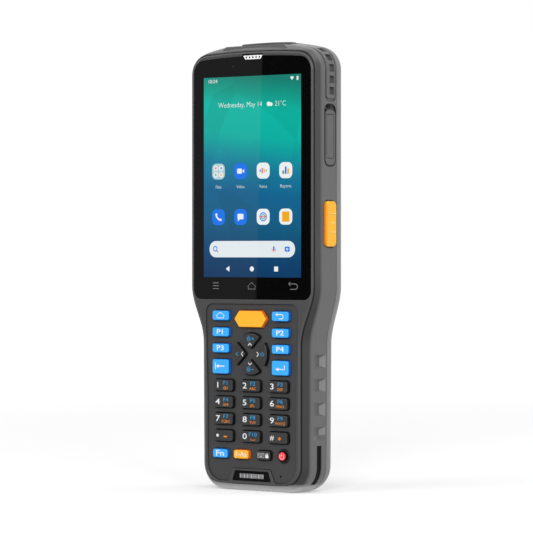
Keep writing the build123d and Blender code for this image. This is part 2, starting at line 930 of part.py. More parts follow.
# ---------------------------------------------------------------- scan window and its hood
hood_base = hood_top - hood_radius
with BuildPart() as scan_window_frame:
    with BuildSketch(front_plane(hood_front)):
        with BuildLine():
            front_half = hood_half - hood_side_slope
            side_top = hood_base + sqrt(hood_radius**2 - front_half**2)
            Polyline(
                (-front_half, side_top),
                (-hood_half, side_top - hood_side_drop),
                (-hood_half, hood_seat),
                (hood_half, hood_seat),
                (hood_half, side_top - hood_side_drop),
                (front_half, side_top),
            )
            ThreePointArc((front_half, side_top), (0, hood_top), (-front_half, side_top))
        make_face()
    extrude(amount=-(hood_back - hood_front))
    rear_low_half = hood_half - hood_rear_step
    rear_top_half = rear_low_half - hood_rear_slope
    with BuildSketch(front_plane(hood_back - hood_rear_bar)):
        with BuildLine():
            rear_low = hood_base + sqrt(hood_radius**2 - rear_low_half**2) - hood_side_drop
            rear_side = hood_base + sqrt(hood_radius**2 - rear_low_half**2) + hood_rear_rise
            Polyline(
                (-rear_top_half, rear_side - hood_rear_ease),
                (-rear_low_half, rear_low),
                (rear_low_half, rear_low),
                (rear_top_half, rear_side - hood_rear_ease),
            )
            ThreePointArc(
                (rear_top_half, rear_side - hood_rear_ease),
                (0, hood_rear_top),
                (-rear_top_half, rear_side - hood_rear_ease),
            )
        make_face()
    extrude(amount=-hood_rear_bar)
    window_front = hood_front + hood_bar
    window_back = hood_back - hood_rear_bar
    with BuildSketch(Plane.XY.offset(window_seat)):
        with Locations((0, y_at((window_front + window_back) / 2))):
            Rectangle(2 * window_half, window_back - window_front)
    extrude(amount=crown_wall * 2, mode=Mode.SUBTRACT)
    with BuildSketch(Plane.XY.offset(hood_seat)):
        with Locations((0, y_at((light_front + light_back) / 2))):
            Rectangle(2 * light_half, light_back - light_front)
    extrude(amount=crown_wall, mode=Mode.SUBTRACT)
scan_window_frame.part.label = "scan_window_frame"
export_step(scan_window_frame.part, "parts/scan_window_frame.step")

with BuildPart() as scan_window:
    with BuildSketch(Plane.XY.offset(window_seat)):
        with Locations((0, y_at((window_front + window_back) / 2))):
            Rectangle(2 * (window_half - fit_gap), window_back - window_front - 2 * fit_gap)
    extrude(amount=window_thickness)
scan_window.part.label = "scan_window"
export_step(scan_window.part, "parts/scan_window.step")

# ---------------------------------------------------------------- triggers
with BuildPart() as right_trigger:
    cap_inner = head_side - trigger_cap_sink
    with BuildSketch(side_plane(cap_inner)):
        with Locations((trigger_y, trigger_middle)):
            RectangleRounded(trigger_width, trigger_length, trigger_corner)
    extrude(amount=trigger_cap_sink + trigger_proud - trigger_rib_proud)
    fillet(right_trigger.faces().sort_by(Axis.X)[-1].edges(), radius=trigger_round)
    rib_y = trigger_y + (trigger_width - trigger_rib_width) / 2 - trigger_rib_edge
    with BuildSketch(side_plane(cap_inner)):
        with Locations((rib_y, trigger_middle + trigger_rib_rise)):
            with GridLocations(0, trigger_rib_pitch, 1, trigger_rib_count):
                Rectangle(trigger_rib_width, trigger_rib_height)
    extrude(amount=trigger_cap_sink + trigger_proud)
    flange_x = wall_inside - key_gap
    with BuildSketch(side_plane(flange_x)):
        with Locations((neck_y, trigger_middle)):
            RectangleRounded(trigger_neck_width, trigger_neck_length, trigger_neck_corner)
    extrude(amount=cap_inner - flange_x)
    with BuildSketch(side_plane(flange_x)):
        with Locations((neck_y, trigger_middle)):
            Rectangle(trigger_neck_width, trigger_flange_length)
    extrude(amount=-trigger_flange_thickness)
    trigger_stem_x = flange_x - trigger_flange_thickness - trigger_stem_length
    with BuildSketch(side_plane(trigger_stem_x)):
        with Locations((neck_y, trigger_middle)):
            Circle(trigger_stem_radius)
    extrude(amount=trigger_stem_length)
right_trigger.part.label = "right_trigger"
export_step(right_trigger.part, "parts/right_trigger.step")

with BuildPart() as left_trigger:
    mirror(right_trigger.part, about=Plane.YZ)
left_trigger.part.label = "left_trigger"
export_step(left_trigger.part, "parts/left_trigger.step")

# ---------------------------------------------------------------- port cover
cover_length = port_length - port_finger_gap
port_cover_sink = 0.1
groove_side_margin = 1.25
groove_low_margin = 3.1
groove_high_margin = 2.2
groove_width = 0.3
groove_depth = 0.2
groove_corner = 0.6
port_seat = head_side - port_recess + port_cover_sink
with BuildPart() as port_cover:
    with BuildSketch(side_plane(port_seat)):
        with Locations((port_y, port_low + cover_length / 2)):
            RectangleRounded(port_width, cover_length, port_corner - key_gap)
    extrude(amount=head_side + port_proud - port_seat)
    loop_width = port_width - 2 * groove_side_margin
    loop_length = cover_length - groove_low_margin - groove_high_margin
    with BuildSketch(side_plane(head_side + port_proud - groove_depth)):
        with Locations((port_y, port_low + groove_low_margin + loop_length / 2)):
            RectangleRounded(loop_width, loop_length, groove_corner)
            RectangleRounded(
                loop_width - 2 * groove_width,
                loop_length - 2 * groove_width,
                groove_corner - groove_width,
                mode=Mode.SUBTRACT,
            )
    extrude(amount=groove_depth, mode=Mode.SUBTRACT)
    with BuildSketch(side_plane(port_seat)):
        with Locations((shell_y, port_middle)):
            RectangleRounded(plug_width, plug_length, 0.8)
    extrude(amount=-plug_reach)
port_cover.part.label = "port_cover"
export_step(port_cover.part, "parts/port_cover.step")

# ---------------------------------------------------------------- chassis plate
chassis_gap = 0.2
rail_width = 2.0
rail_off_edge = 6.1
rail_end_gap = 5.0
rail_gap = 0.1
with BuildPart() as chassis_plate:
    with BuildSketch(front_plane(chassis_depth)):
        add(side_outline(wall + chassis_gap, 0, crown_wall + chassis_gap))
    extrude(amount=-chassis_thickness)
    with BuildSketch(front_plane(chassis_depth)):
        with Locations((0, lcd_centre)):
            with GridLocations(lcd_width - 2 * rail_off_edge, 0, 2, 1):
                Rectangle(rail_width, lcd_height - 2 * rail_end_gap)
    extrude(amount=chassis_depth - glass_seat - lcd_thickness - rail_gap)
chassis_plate.part.label = "chassis_plate"
export_step(chassis_plate.part, "parts/chassis_plate.step")

# ---------------------------------------------------------------- main board and what it carries
board_off_wall = 5.0
board_above_waist = 14.2
board_below_crown = 24.2
post_radius = 1.5
post_inset = 3.0
processor_size = 18.0
processor_lift = 6.0
radio_width = 12.0
radio_height = 14.0
radio_x = -12.0
radio_drop = 18.0
chip_thickness = 1.4
main_board_width = 2 * (wall_inside - board_off_wall)
main_board_low = waist_high + board_above_waist
main_board_high = crown_height - board_below_crown
main_board_middle = (main_board_low + main_board_high) / 2
main_board_height = main_board_high - main_board_low
with BuildPart() as main_board:
    with BuildSketch(front_plane(main_board_depth)):
        with Locations((0, main_board_middle)):
            Rectangle(main_board_width, main_board_height)
    extrude(amount=-main_board_thickness)
    with BuildSketch(front_plane(component_depth)):
        with Locations((0, main_board_middle + processor_lift)):
            Rectangle(processor_size, processor_size)
        with Locations((radio_x, main_board_middle - radio_drop)):
            Rectangle(radio_width, radio_height)
    extrude(amount=-chip_thickness)
    with BuildSketch(front_plane(main_board_depth)):
        with Locations((0, main_board_middle)):
            with GridLocations(
                main_board_width - 2 * post_inset, main_board_height - 2 * post_inset, 2, 2
            ):
                Circle(post_radius)
    extrude(amount=main_board_depth - chassis_back)
main_board.part.label = "main_board"
export_step(main_board.part, "parts/main_board.step")

port_shell_length = 7.4
port_shell_width = 9.0
port_shell_x = wall_inside - moving_gap
shell_wall = 0.35
shell_corner = 1.4
shell_back = 1.0
tongue_thickness = 0.7
tongue_side_gap = 1.2
with BuildPart() as usb_connector:
    with BuildSketch(side_plane(port_shell_x - port_shell_length)):
        with Locations((shell_y, port_middle)):
            RectangleRounded(port_shell_height, port_shell_width, shell_corner)
    extrude(amount=port_shell_length)
    with BuildSketch(side_plane(port_shell_x)):
        with Locations((shell_y, port_middle)):
            RectangleRounded(
                port_shell_height - 2 * shell_wall,
                port_shell_width - 2 * shell_wall,
                shell_corner - shell_wall,
            )
            Rectangle(
                tongue_thickness, port_shell_width - 2 * tongue_side_gap, mode=Mode.SUBTRACT
            )
    extrude(amount=-(port_shell_length - shell_back), mode=Mode.SUBTRACT)
usb_connector.part.label = "usb_connector"
export_step(usb_connector.part, "parts/usb_connector.step")

# switches under the two triggers
switch_on_board = 4.0
switch_height = 6.0
switch_thickness = 3.2
switch_x = trigger_stem_x - trigger_travel - key_gap
with BuildPart() as trigger_switches:
    switch_length = switch_x - main_board_width / 2 + switch_on_board
    for side in (-1, 1):
        with BuildSketch(front_plane(component_depth)):
            with Locations((side * (switch_x - switch_length / 2), trigger_middle)):
                Rectangle(switch_length, switch_height)
        extrude(amount=-switch_thickness)
trigger_switches.part.label = "trigger_switches"
export_step(trigger_switches.part, "parts/trigger_switches.step")

# ---------------------------------------------------------------- scan engine
engine_half = 13.0
engine_height = 15.0
engine_below_crown = 5.8
engine_depth = 10.8
engine_corner = 1.0
lens_x = -4.5
lens_radius = 1.6
lamp_x = 4.5
lamp_width = 5.0
optics_depth = 2.0
engine_high = crown_height - engine_below_crown
with BuildPart() as scan_engine:
    with BuildSketch(front_plane(chassis_back)):
        with Locations((0, engine_high - engine_height / 2)):
            RectangleRounded(2 * engine_half, engine_height, engine_corner)
    extrude(amount=-engine_depth)
    with BuildSketch(Plane.XY.offset(engine_high - optics_depth)):
        with Locations((lens_x, y_at((light_front + light_back) / 2))):
            Circle(lens_radius)
        with Locations((lamp_x, y_at((light_front + light_back) / 2))):
            Rectangle(lamp_width, lens_radius)
    extrude(amount=optics_depth, mode=Mode.SUBTRACT)
scan_engine.part.label = "scan_engine"
export_step(scan_engine.part, "parts/scan_engine.step")

# ---------------------------------------------------------------- rear housing
battery_half = 20.5
battery_corner = 2.0
battery_low = 14.0
battery_high = 92.0
battery_thickness = 10.4
cover_thickness = 1.6
cover_half = 23.6
cover_low = 11.6
cover_high = 96.0
cover_corner = 4.0
tray_wall = 1.4
tray_floor = 1.2
battery_clearance = 0.3
cover_depth = body_depth - cover_thickness
battery_front = cover_depth - battery_clearance - battery_thickness
tray_half = battery_half + battery_clearance
tray_low = battery_low - battery_clearance
tray_high = battery_high + battery_clearance
tray_inside = battery_front - fit_gap
latch_half = 6.0
latch_high = 93.2
latch_height = 6.4
latch_travel = 3.0
latch_thickness = 0.9
tongue_half = 3.0
tongue_reach = 2.0
camera_x = -12.0
camera_below_crown = 36.2
camera_plate_corner = 4.0
camera_body_size = 8.6
camera_body_depth = 4.4
camera_eye_radius = 1.2
camera_plate_width = 24.0
camera_plate_height = 12.0
camera_plate_thickness = 0.8
camera_lens_radius = 3.2
flash_radius = 1.8
flash_offset = 14.0
speaker_x = 12.0
speaker_above_waist = 24.2
speaker_depth = 3.6
speaker_corner = 1.0
speaker_slot_count = 3
speaker_slot_inset = 3.0
speaker_width = 16.0
speaker_height = 9.0
speaker_slot = 1.0
speaker_slot_pitch = 2.4
screw_hole_gap = 0.1
hollow_overlap = 1.0
camera_z = crown_height - camera_below_crown
speaker_z = waist_high + speaker_above_waist

with BuildPart() as rear_hollow:
    with BuildSketch(front_plane(seam_depth)):
        add(side_outline(wall, 0, crown_wall))
    extrude(amount=-(back_inside - seam_depth))
    fillet(rear_hollow.faces().sort_by(Axis.Y)[-1].edges(), radius=rear_radius - wall)

with BuildPart() as rear_housing:
    with BuildSketch(front_plane(rear_front)):
        add(side_outline(0, crown_rise))
    extrude(amount=-(body_depth - rear_front))
    fillet(rear_housing.faces().sort_by(Axis.Y)[-1].edges(), radius=rear_radius)
    add(rear_hollow.part, mode=Mode.SUBTRACT)
    # battery tray
    with BuildSketch(front_plane(tray_inside - tray_floor)):
        with Locations((0, (tray_low + tray_high) / 2)):
            Rectangle(2 * (tray_half + tray_wall), tray_high - tray_low + 2 * tray_wall)
    extrude(amount=-(cover_depth - tray_inside + tray_floor))
    with BuildSketch(front_plane(tray_inside)):
        with Locations((0, (tray_low + tray_high) / 2)):
            Rectangle(2 * tray_half, tray_high - tray_low)
    extrude(amount=-(body_depth - tray_inside), mode=Mode.SUBTRACT)
    # seat of the battery cover
    with BuildSketch(front_plane(cover_depth)):
        with Locations((0, (cover_low + cover_high) / 2)):
            RectangleRounded(
                2 * (cover_half + fit_gap), cover_high - cover_low + 2 * fit_gap, cover_corner
            )
    extrude(amount=-(body_depth - cover_depth), mode=Mode.SUBTRACT)
    # notch for the latch's tongue, open to the back
    with BuildSketch(front_plane(cover_depth)):
        with Locations((0, cover_high + (tongue_reach + moving_gap) / 2)):
            Rectangle(2 * (tongue_half + moving_gap), tongue_reach + moving_gap)
    extrude(amount=-(body_depth - cover_depth), mode=Mode.SUBTRACT)
    # screw bosses and counterbored holes
    with BuildSketch(front_plane(rear_front)):
        with Locations(*screw_points):
            Circle(boss_radius)
    extrude(amount=-(back_inside + back_wall / 2 - rear_front))
    with BuildSketch(front_plane(rear_front)):
        with Locations(*screw_points):
            Circle(screw_radius + screw_hole_gap)
    extrude(amount=-(body_depth - rear_front), mode=Mode.SUBTRACT)
    with BuildSketch(front_plane(body_depth - screw_head_height - screw_head_sink)):
        with Locations(*screw_points):
            Circle(screw_head_radius + screw_hole_gap)
    extrude(amount=-(screw_head_height + screw_head_sink), mode=Mode.SUBTRACT)
    # camera plate seat and the two holes behind it
    plate_middle = camera_x + flash_offset / 2
    with BuildSketch(front_plane(body_depth - camera_plate_thickness)):
        with Locations((plate_middle, camera_z)):
            RectangleRounded(
                camera_plate_width + 2 * fit_gap,
                camera_plate_height + 2 * fit_gap,
                camera_plate_corner,
            )
    extrude(amount=-camera_plate_thickness, mode=Mode.SUBTRACT)
    with BuildSketch(front_plane(back_inside - hollow_overlap)):
        with Locations((camera_x, camera_z)):
            Circle(camera_lens_radius)
        with Locations((camera_x + flash_offset, camera_z)):
            Circle(flash_radius)
    extrude(amount=-(back_wall + hollow_overlap), mode=Mode.SUBTRACT)
    # sound slots
    with BuildSketch(front_plane(back_inside - hollow_overlap)):
        with Locations((speaker_x, speaker_z)):
            with GridLocations(0, speaker_slot_pitch, 1, speaker_slot_count):
                SlotOverall(speaker_width - 2 * speaker_slot_inset, speaker_slot)
    extrude(amount=-(back_wall + hollow_overlap), mode=Mode.SUBTRACT)
rear_housing.part.label = "rear_housing"
export_step(rear_housing.part, "parts/rear_housing.step")

# ---------------------------------------------------------------- seal between the housings
seal_inset = 0.35
with BuildPart() as housing_seal:
    with BuildSketch(front_plane(seam_depth)):
        add(side_outline(seal_inset, crown_rise))
        add(cavity_outline(), mode=Mode.SUBTRACT)
    extrude(amount=-seal_thickness)
housing_seal.part.label = "housing_seal"
export_step(housing_seal.part, "parts/housing_seal.step")

# ---------------------------------------------------------------- battery pack
with BuildPart() as battery_pack:
    with BuildSketch(front_plane(battery_front)):
        with Locations((0, (battery_low + battery_high) / 2)):
            RectangleRounded(2 * battery_half, battery_high - battery_low, battery_corner)
    extrude(amount=-battery_thickness)
battery_pack.part.label = "battery_pack"
export_step(battery_pack.part, "parts/battery_pack.step")

# ---------------------------------------------------------------- battery cover and latch
latch_low = latch_high - latch_height
latch_depth = body_depth - latch_thickness
latch_floor_gap = 0.1
cover_edge = 0.5
latch_groove_depth = 0.4
latch_groove_width = 0.7
latch_groove_pitch = 1.6
latch_groove_count = 3
latch_groove_inset = 1.2
tongue_plate = 0.5
with BuildPart() as battery_cover:
    with BuildSketch(front_plane(cover_depth)):
        with Locations((0, (cover_low + cover_high) / 2)):
            RectangleRounded(2 * cover_half, cover_high - cover_low, cover_corner - fit_gap)
    extrude(amount=-cover_thickness)
    chamfer(battery_cover.faces().sort_by(Axis.Y)[-1].edges(), length=cover_edge)
    with BuildSketch(front_plane(latch_depth - latch_floor_gap)):
        with Locations((0, (latch_low - latch_travel + latch_high) / 2)):
            Rectangle(
                2 * (latch_half + moving_gap), latch_height + latch_travel + 2 * moving_gap
            )
        with Locations((0, (latch_low + cover_high) / 2)):
            Rectangle(2 * (tongue_half + moving_gap), cover_high - latch_low)
    extrude(amount=-(latch_thickness + latch_floor_gap), mode=Mode.SUBTRACT)
battery_cover.part.label = "battery_cover"
export_step(battery_cover.part, "parts/battery_cover.step")

with BuildPart() as battery_latch:
    with BuildSketch(front_plane(latch_depth)):
        with Locations((0, (latch_low + latch_high) / 2)):
            Rectangle(2 * latch_half, latch_height)
    extrude(amount=-latch_thickness)
    with BuildSketch(front_plane(body_depth - latch_groove_depth)):
        with Locations((0, (latch_low + latch_high) / 2)):
            with GridLocations(0, latch_groove_pitch, 1, latch_groove_count):
                Rectangle(2 * (latch_half - latch_groove_inset), latch_groove_width)
    extrude(amount=-latch_groove_depth, mode=Mode.SUBTRACT)
    with BuildSketch(front_plane(latch_depth)):
        with Locations((0, (latch_low + cover_high + tongue_reach) / 2)):
            Rectangle(2 * tongue_half, cover_high + tongue_reach - latch_low)
    extrude(amount=-tongue_plate)
battery_latch.part.label = "battery_latch"
export_step(battery_latch.part, "parts/battery_latch.step")

# ---------------------------------------------------------------- loudspeaker
with BuildPart() as loudspeaker:
    with BuildSketch(front_plane(back_inside - speaker_depth)):
        with Locations((speaker_x, speaker_z)):
            RectangleRounded(speaker_width, speaker_height, speaker_corner)
    extrude(amount=-speaker_depth)
loudspeaker.part.label = "loudspeaker"
export_step(loudspeaker.part, "parts/loudspeaker.step")

# ---------------------------------------------------------------- rear camera
with BuildPart() as rear_camera:
    with BuildSketch(front_plane(back_inside - camera_body_depth)):
        with Locations((camera_x, camera_z)):
            Rectangle(camera_body_size, camera_body_size)
    extrude(amount=-camera_body_depth)
    with BuildSketch(front_plane(back_inside)):
        with Locations((camera_x, camera_z)):
            Circle(camera_lens_radius - 2 * fit_gap)
            Circle(camera_eye_radius, mode=Mode.SUBTRACT)
    extrude(amount=-(back_wall - camera_plate_thickness - fit_gap))
rear_camera.part.label = "rear_camera"
export_step(rear_camera.part, "parts/rear_camera.step")

with BuildPart() as rear_camera_window:
    with BuildSketch(front_plane(body_depth - camera_plate_thickness)):
        with Locations((plate_middle, camera_z)):
            RectangleRounded(
                camera_plate_width, camera_plate_height, camera_plate_corner - fit_gap
            )
    extrude(amount=-camera_plate_thickness)
rear_camera_window.part.label = "rear_camera_window"
export_step(rear_camera_window.part, "parts/rear_camera_window.step")

# ---------------------------------------------------------------- screws
screw_length = 10.0
socket_radius = 0.8
socket_depth = 0.6
screw_slack = 0.05
head_back = body_depth - screw_head_sink
with BuildPart() as housing_screws:
    with BuildSketch(front_plane(head_back - screw_head_height)):
        with Locations(*screw_points):
            Circle(screw_head_radius)
    extrude(amount=-screw_head_height)
    with BuildSketch(front_plane(head_back - socket_depth)):
        with Locations(*screw_points):
            RegularPolygon(socket_radius, 6)
    extrude(amount=-socket_depth, mode=Mode.SUBTRACT)
    with BuildSketch(front_plane(head_back - screw_head_height)):
        with Locations(*screw_points):
            Circle(screw_radius - screw_slack)
    extrude(amount=screw_length)
housing_screws.part.label = "housing_screws"
export_step(housing_screws.part, "parts/housing_screws.step")

# ---------------------------------------------------------------- charging contacts
with BuildPart() as charging_contacts:
    with BuildSketch(Plane.XY.offset(contact_sink)):
        with Locations((0, y_at(contact_depth))):
            with GridLocations(contact_pitch, 0, contact_count, 1):
                Circle(contact_radius - screw_slack)
    extrude(amount=contact_length)
charging_contacts.part.label = "charging_contacts"
export_step(charging_contacts.part, "parts/charging_contacts.step")
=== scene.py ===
from math import cos, pi, radians, sin

import bmesh
import bpy
from mathutils import Matrix, Vector


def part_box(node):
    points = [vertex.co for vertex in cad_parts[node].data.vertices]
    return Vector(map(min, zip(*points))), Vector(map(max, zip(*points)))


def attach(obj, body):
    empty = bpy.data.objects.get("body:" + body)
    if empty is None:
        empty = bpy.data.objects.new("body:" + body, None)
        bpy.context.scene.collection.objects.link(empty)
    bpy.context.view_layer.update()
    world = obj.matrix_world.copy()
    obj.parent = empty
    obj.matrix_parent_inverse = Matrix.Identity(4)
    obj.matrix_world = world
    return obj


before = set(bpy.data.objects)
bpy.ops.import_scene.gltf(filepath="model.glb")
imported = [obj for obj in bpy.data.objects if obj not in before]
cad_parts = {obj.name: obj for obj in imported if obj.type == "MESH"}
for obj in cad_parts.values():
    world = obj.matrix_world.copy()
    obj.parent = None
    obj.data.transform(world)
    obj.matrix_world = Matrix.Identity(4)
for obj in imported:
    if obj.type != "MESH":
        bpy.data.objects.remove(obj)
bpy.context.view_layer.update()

# -------------------------------- camera
# A long lens at the height of the screen's lower half, a little to the right of the front.
# It looks level, so that the terminal's upright edges stay upright.
mm = 0.001
view_angle = radians(36.2245)
view_distance = 1191.9 * mm
aim = (8.116 * mm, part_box("front_bezel")[0].y, 103.8 * mm)
lens = bpy.data.cameras.new("camera")
lens.sensor_width = 36.0
lens.lens = 186.97
lens.shift_y = -0.028
lens.clip_start = 0.05
lens.clip_end = 100.0
camera = bpy.data.objects.new("camera", lens)
camera.location = (
    aim[0] + view_distance * sin(view_angle),
    aim[1] - view_distance * cos(view_angle),
    aim[2],
)
camera.rotation_euler = (pi / 2, 0, view_angle)
bpy.context.scene.collection.objects.link(camera)
bpy.context.scene.camera = camera
bpy.context.scene.view_settings.view_transform = "Standard"


# -------------------------------- studio
# A pale floor that runs out of sight, a white room and four soft lamps. Two cards stand
# to the left of the camera: one black, and one grey that the glass mirrors on its left.
def calculate(tree, operation, *values):
    """Works out a sum on sockets or numbers and returns its socket."""
    step = tree.nodes.new("ShaderNodeMath")
    step.operation = operation
    for value, socket in zip(values, step.inputs):
        if isinstance(value, bpy.types.NodeSocket):
            tree.links.new(value, socket)
        else:
            socket.default_value = value
    return step.outputs[0]


def between(tree, value, start, stop, low=0.0, high=1.0):
    """Turns a value that runs from start to stop into one from low to high."""
    reach = tree.nodes.new("ShaderNodeMapRange")
    reach.inputs["From Min"].default_value = start
    reach.inputs["From Max"].default_value = stop
    reach.inputs["To Min"].default_value = low
    reach.inputs["To Max"].default_value = high
    tree.links.new(value, reach.inputs["Value"])
    return reach.outputs["Result"]


room_light = 0.36
room_seen = 1.0
room = bpy.data.worlds.new("room")
room.use_nodes = True
bpy.context.scene.world = room
tree = room.node_tree
rays = tree.nodes.new("ShaderNodeLightPath").outputs
seen = calculate(tree, "MAXIMUM", rays["Is Camera Ray"], rays["Is Glossy Ray"])
seen = calculate(tree, "MAXIMUM", seen, rays["Is Transmission Ray"])
background = tree.nodes["Background"]
background.inputs["Color"].default_value = (1, 1, 1, 1)
tree.links.new(between(tree, seen, 0.0, 1.0, room_light, room_seen), background.inputs["Strength"])

# camera and mirror rays see a white floor, shaded only near the foot, and others a greyer one
floor_size = 60.0
floor_white = 0.80
floor_lift = 0.16
floor_seen_white = 1.0
shadow_middle = (0.0, 0.16, 0.0)
shadow_reach = 0.1
shadow_end = 0.6
floor_mesh = bpy.data.meshes.new("floor")
bm = bmesh.new()
bmesh.ops.create_grid(bm, x_segments=1, y_segments=1, size=floor_size / 2)
bm.to_mesh(floor_mesh)
bm.free()
floor = bpy.data.objects.new("floor", floor_mesh)
bpy.context.scene.collection.objects.link(floor)
floor_paint = bpy.data.materials.new("floor_paint")
floor_paint.use_nodes = True
tree = floor_paint.node_tree
tree.nodes.clear()
rays = tree.nodes.new("ShaderNodeLightPath").outputs
seen = calculate(tree, "MAXIMUM", rays["Is Camera Ray"], rays["Is Glossy Ray"])
bounce = tree.nodes.new("ShaderNodeBsdfDiffuse")
bounce.inputs["Color"].default_value = (floor_white, floor_white, floor_white, 1)
shade = tree.nodes.new("ShaderNodeBsdfDiffuse")
shade.inputs["Color"].default_value = (floor_seen_white, floor_seen_white, floor_seen_white, 1)
glow = tree.nodes.new("ShaderNodeEmission")
glow.inputs["Strength"].default_value = floor_lift
far_white = tree.nodes.new("ShaderNodeEmission")
place = tree.nodes.new("ShaderNodeTexCoord")
away = tree.nodes.new("ShaderNodeVectorMath")
away.operation = "DISTANCE"
away.inputs[1].default_value = shadow_middle
lit = tree.nodes.new("ShaderNodeAddShader")
near_or_far = tree.nodes.new("ShaderNodeMixShader")
pick = tree.nodes.new("ShaderNodeMixShader")
out = tree.nodes.new("ShaderNodeOutputMaterial")
tree.links.new(place.outputs["Object"], away.inputs[0])
for start, stop in (
    (shade.outputs[0], lit.inputs[0]),
    (glow.outputs[0], lit.inputs[1]),
    (between(tree, away.outputs["Value"], shadow_reach, shadow_end), near_or_far.inputs[0]),
    (lit.outputs[0], near_or_far.inputs[1]),
    (far_white.outputs[0], near_or_far.inputs[2]),
    (seen, pick.inputs[0]),
    (bounce.outputs[0], pick.inputs[1]),
    (near_or_far.outputs[0], pick.inputs[2]),
    (pick.outputs[0], out.inputs["Surface"]),
):
    tree.links.new(start, stop)
floor_mesh.materials.append(floor_paint)

# name: place, side, watts
lamp_aim = Vector((0, 0, 100 * mm))
lamps = {
    "rear_right_lamp": ((0.9, 0.6, 2.0), 1.4, 11.0),
    "front_left_lamp": ((-0.75, -1.25, 1.55), 1.3, 12.0),
    "front_lamp": ((0.75, -1.42, 0.9), 0.5, 9.0),
    "right_lamp": ((1.3, -0.75, 0.7), 0.7, 8.5),
}
for lamp_name, (place, side, watts) in lamps.items():
    lamp_data = bpy.data.lights.new(lamp_name, "AREA")
    lamp_data.size = side
    lamp_data.energy = watts
    lamp = bpy.data.objects.new(lamp_name, lamp_data)
    lamp.location = place
    lamp.rotation_euler = (lamp_aim - lamp.location).to_track_quat("-Z", "Y").to_euler()
    bpy.context.scene.collection.objects.link(lamp)

# name: corners on the card's own plane as (x, z), that plane's y, brightness
card_front = -1.5
card_gap = 0.01
cards = {
    "black_card": (((-1.9, 0.0), (-0.5, 0.0), (-0.5, 1.1), (-1.9, 1.1)), card_front - card_gap, 0.02),
    "grey_card": (((-1.30, -0.1), (-1.1021, -0.1), (-1.0829, 0.52), (-1.30, 0.52)), card_front, 0.26),
}
for card_name, (corners, card_y, brightness) in cards.items():
    card_mesh = bpy.data.meshes.new(card_name)
    bm = bmesh.new()
    bm.faces.new([bm.verts.new((x, card_y, z)) for x, z in corners])
    bm.to_mesh(card_mesh)
    bm.free()
    card_paint = bpy.data.materials.new(card_name)
    card_paint.use_nodes = True
    shader = card_paint.node_tree.nodes["Principled BSDF"]
    shader.inputs["Base Color"].default_value = (0, 0, 0, 1)
    shader.inputs["Specular IOR Level"].default_value = 0.0
    shader.inputs["Emission Color"].default_value = (1, 1, 1, 1)
    shader.inputs["Emission Strength"].default_value = brightness
    card_mesh.materials.append(card_paint)
    card = bpy.data.objects.new(card_name, card_mesh)
    card.visible_camera = False
    card.visible_diffuse = False
    card.visible_transmission = False
    card.visible_shadow = False
    bpy.context.scene.collection.objects.link(card)


# -------------------------------- main frame
# The middle shell is injection-moulded polycarbonate with a fine spark-eroded texture.
# It carries the flared lip, the side notches and the recesses for the side keys.
def screen_colour(colour):
    """Linear colour of a display colour with levels from 0 to 255."""
    levels = []
    for value in colour:
        share = value / 255
        levels.append(share / 12.92 if share <= 0.04045 else ((share + 0.055) / 1.055) ** 2.4)
    return (*levels, 1.0)


def moulded_plastic(name, colour, roughness, relief=0.15, edge=0.15 * mm, shine=0.35):
    """Moulded plastic: fine grain in its relief and gloss, faint mottling and softened edges."""
    grain = 0.35 * mm
    grain_height = 0.05 * mm
    clouds_per_metre = 90.0
    mottle = 0.06
    gloss_spread = 0.05
    levels = screen_colour(colour)[:3]
    material = bpy.data.materials.new(name)
    material.use_nodes = True
    tree = material.node_tree
    shader = tree.nodes["Principled BSDF"]
    shader.inputs["Specular IOR Level"].default_value = shine
    place = tree.nodes.new("ShaderNodeTexCoord")
    fine = tree.nodes.new("ShaderNodeTexNoise")
    fine.inputs["Scale"].default_value = 1 / grain
    fine.inputs["Detail"].default_value = 2.0
    cloud = tree.nodes.new("ShaderNodeTexNoise")
    cloud.inputs["Scale"].default_value = clouds_per_metre
    cloud.inputs["Detail"].default_value = 4.0
    tint = tree.nodes.new("ShaderNodeMix")
    tint.data_type = "RGBA"
    tint.inputs["A"].default_value = (*[level * (1 - mottle) for level in levels], 1)
    tint.inputs["B"].default_value = (*[level * (1 + mottle) for level in levels], 1)
    bump = tree.nodes.new("ShaderNodeBump")
    bump.inputs["Strength"].default_value = relief
    bump.inputs["Distance"].default_value = grain_height
    soften = tree.nodes.new("ShaderNodeBevel")
    soften.samples = 4
    soften.inputs["Radius"].default_value = edge
    gloss = between(tree, fine.outputs["Fac"], 0.0, 1.0, roughness - gloss_spread, roughness + gloss_spread)
    for start, stop in (
        (place.outputs["Object"], fine.inputs["Vector"]),
        (place.outputs["Object"], cloud.inputs["Vector"]),
        (cloud.outputs["Fac"], tint.inputs["Factor"]),
        (tint.outputs["Result"], shader.inputs["Base Color"]),
        (gloss, shader.inputs["Roughness"]),
        (fine.outputs["Fac"], bump.inputs["Height"]),
        (soften.outputs["Normal"], bump.inputs["Normal"]),
        (bump.outputs["Normal"], shader.inputs["Normal"]),
    ):
        tree.links.new(start, stop)
    return material


def paint_over(material, amount, colour):
    """Lays another colour over the plastic's own, as much as a socket says."""
    tree = material.node_tree
    base = tree.nodes["Principled BSDF"].inputs["Base Color"]
    blend = tree.nodes.new("ShaderNodeMix")
    blend.data_type = "RGBA"
    blend.inputs["B"].default_value = screen_colour(colour)
    tree.links.new(amount, blend.inputs["Factor"])
    tree.links.new(base.links[0].from_socket, blend.inputs["A"])
    tree.links.new(blend.outputs["Result"], base)


def paint_lighting_along(material, axis, start, stop, colour):
    """Paints light and shade into the plastic: another colour, from one place along an axis to another."""
    tree = material.node_tree
    coords = tree.nodes.new("ShaderNodeTexCoord")
    split = tree.nodes.new("ShaderNodeSeparateXYZ")
    tree.links.new(coords.outputs["Object"], split.inputs[0])
    place = split.outputs[axis]
    if axis == "X":
        place = calculate(tree, "ABSOLUTE", place)
    paint_over(material, between(tree, place, start, stop), colour)


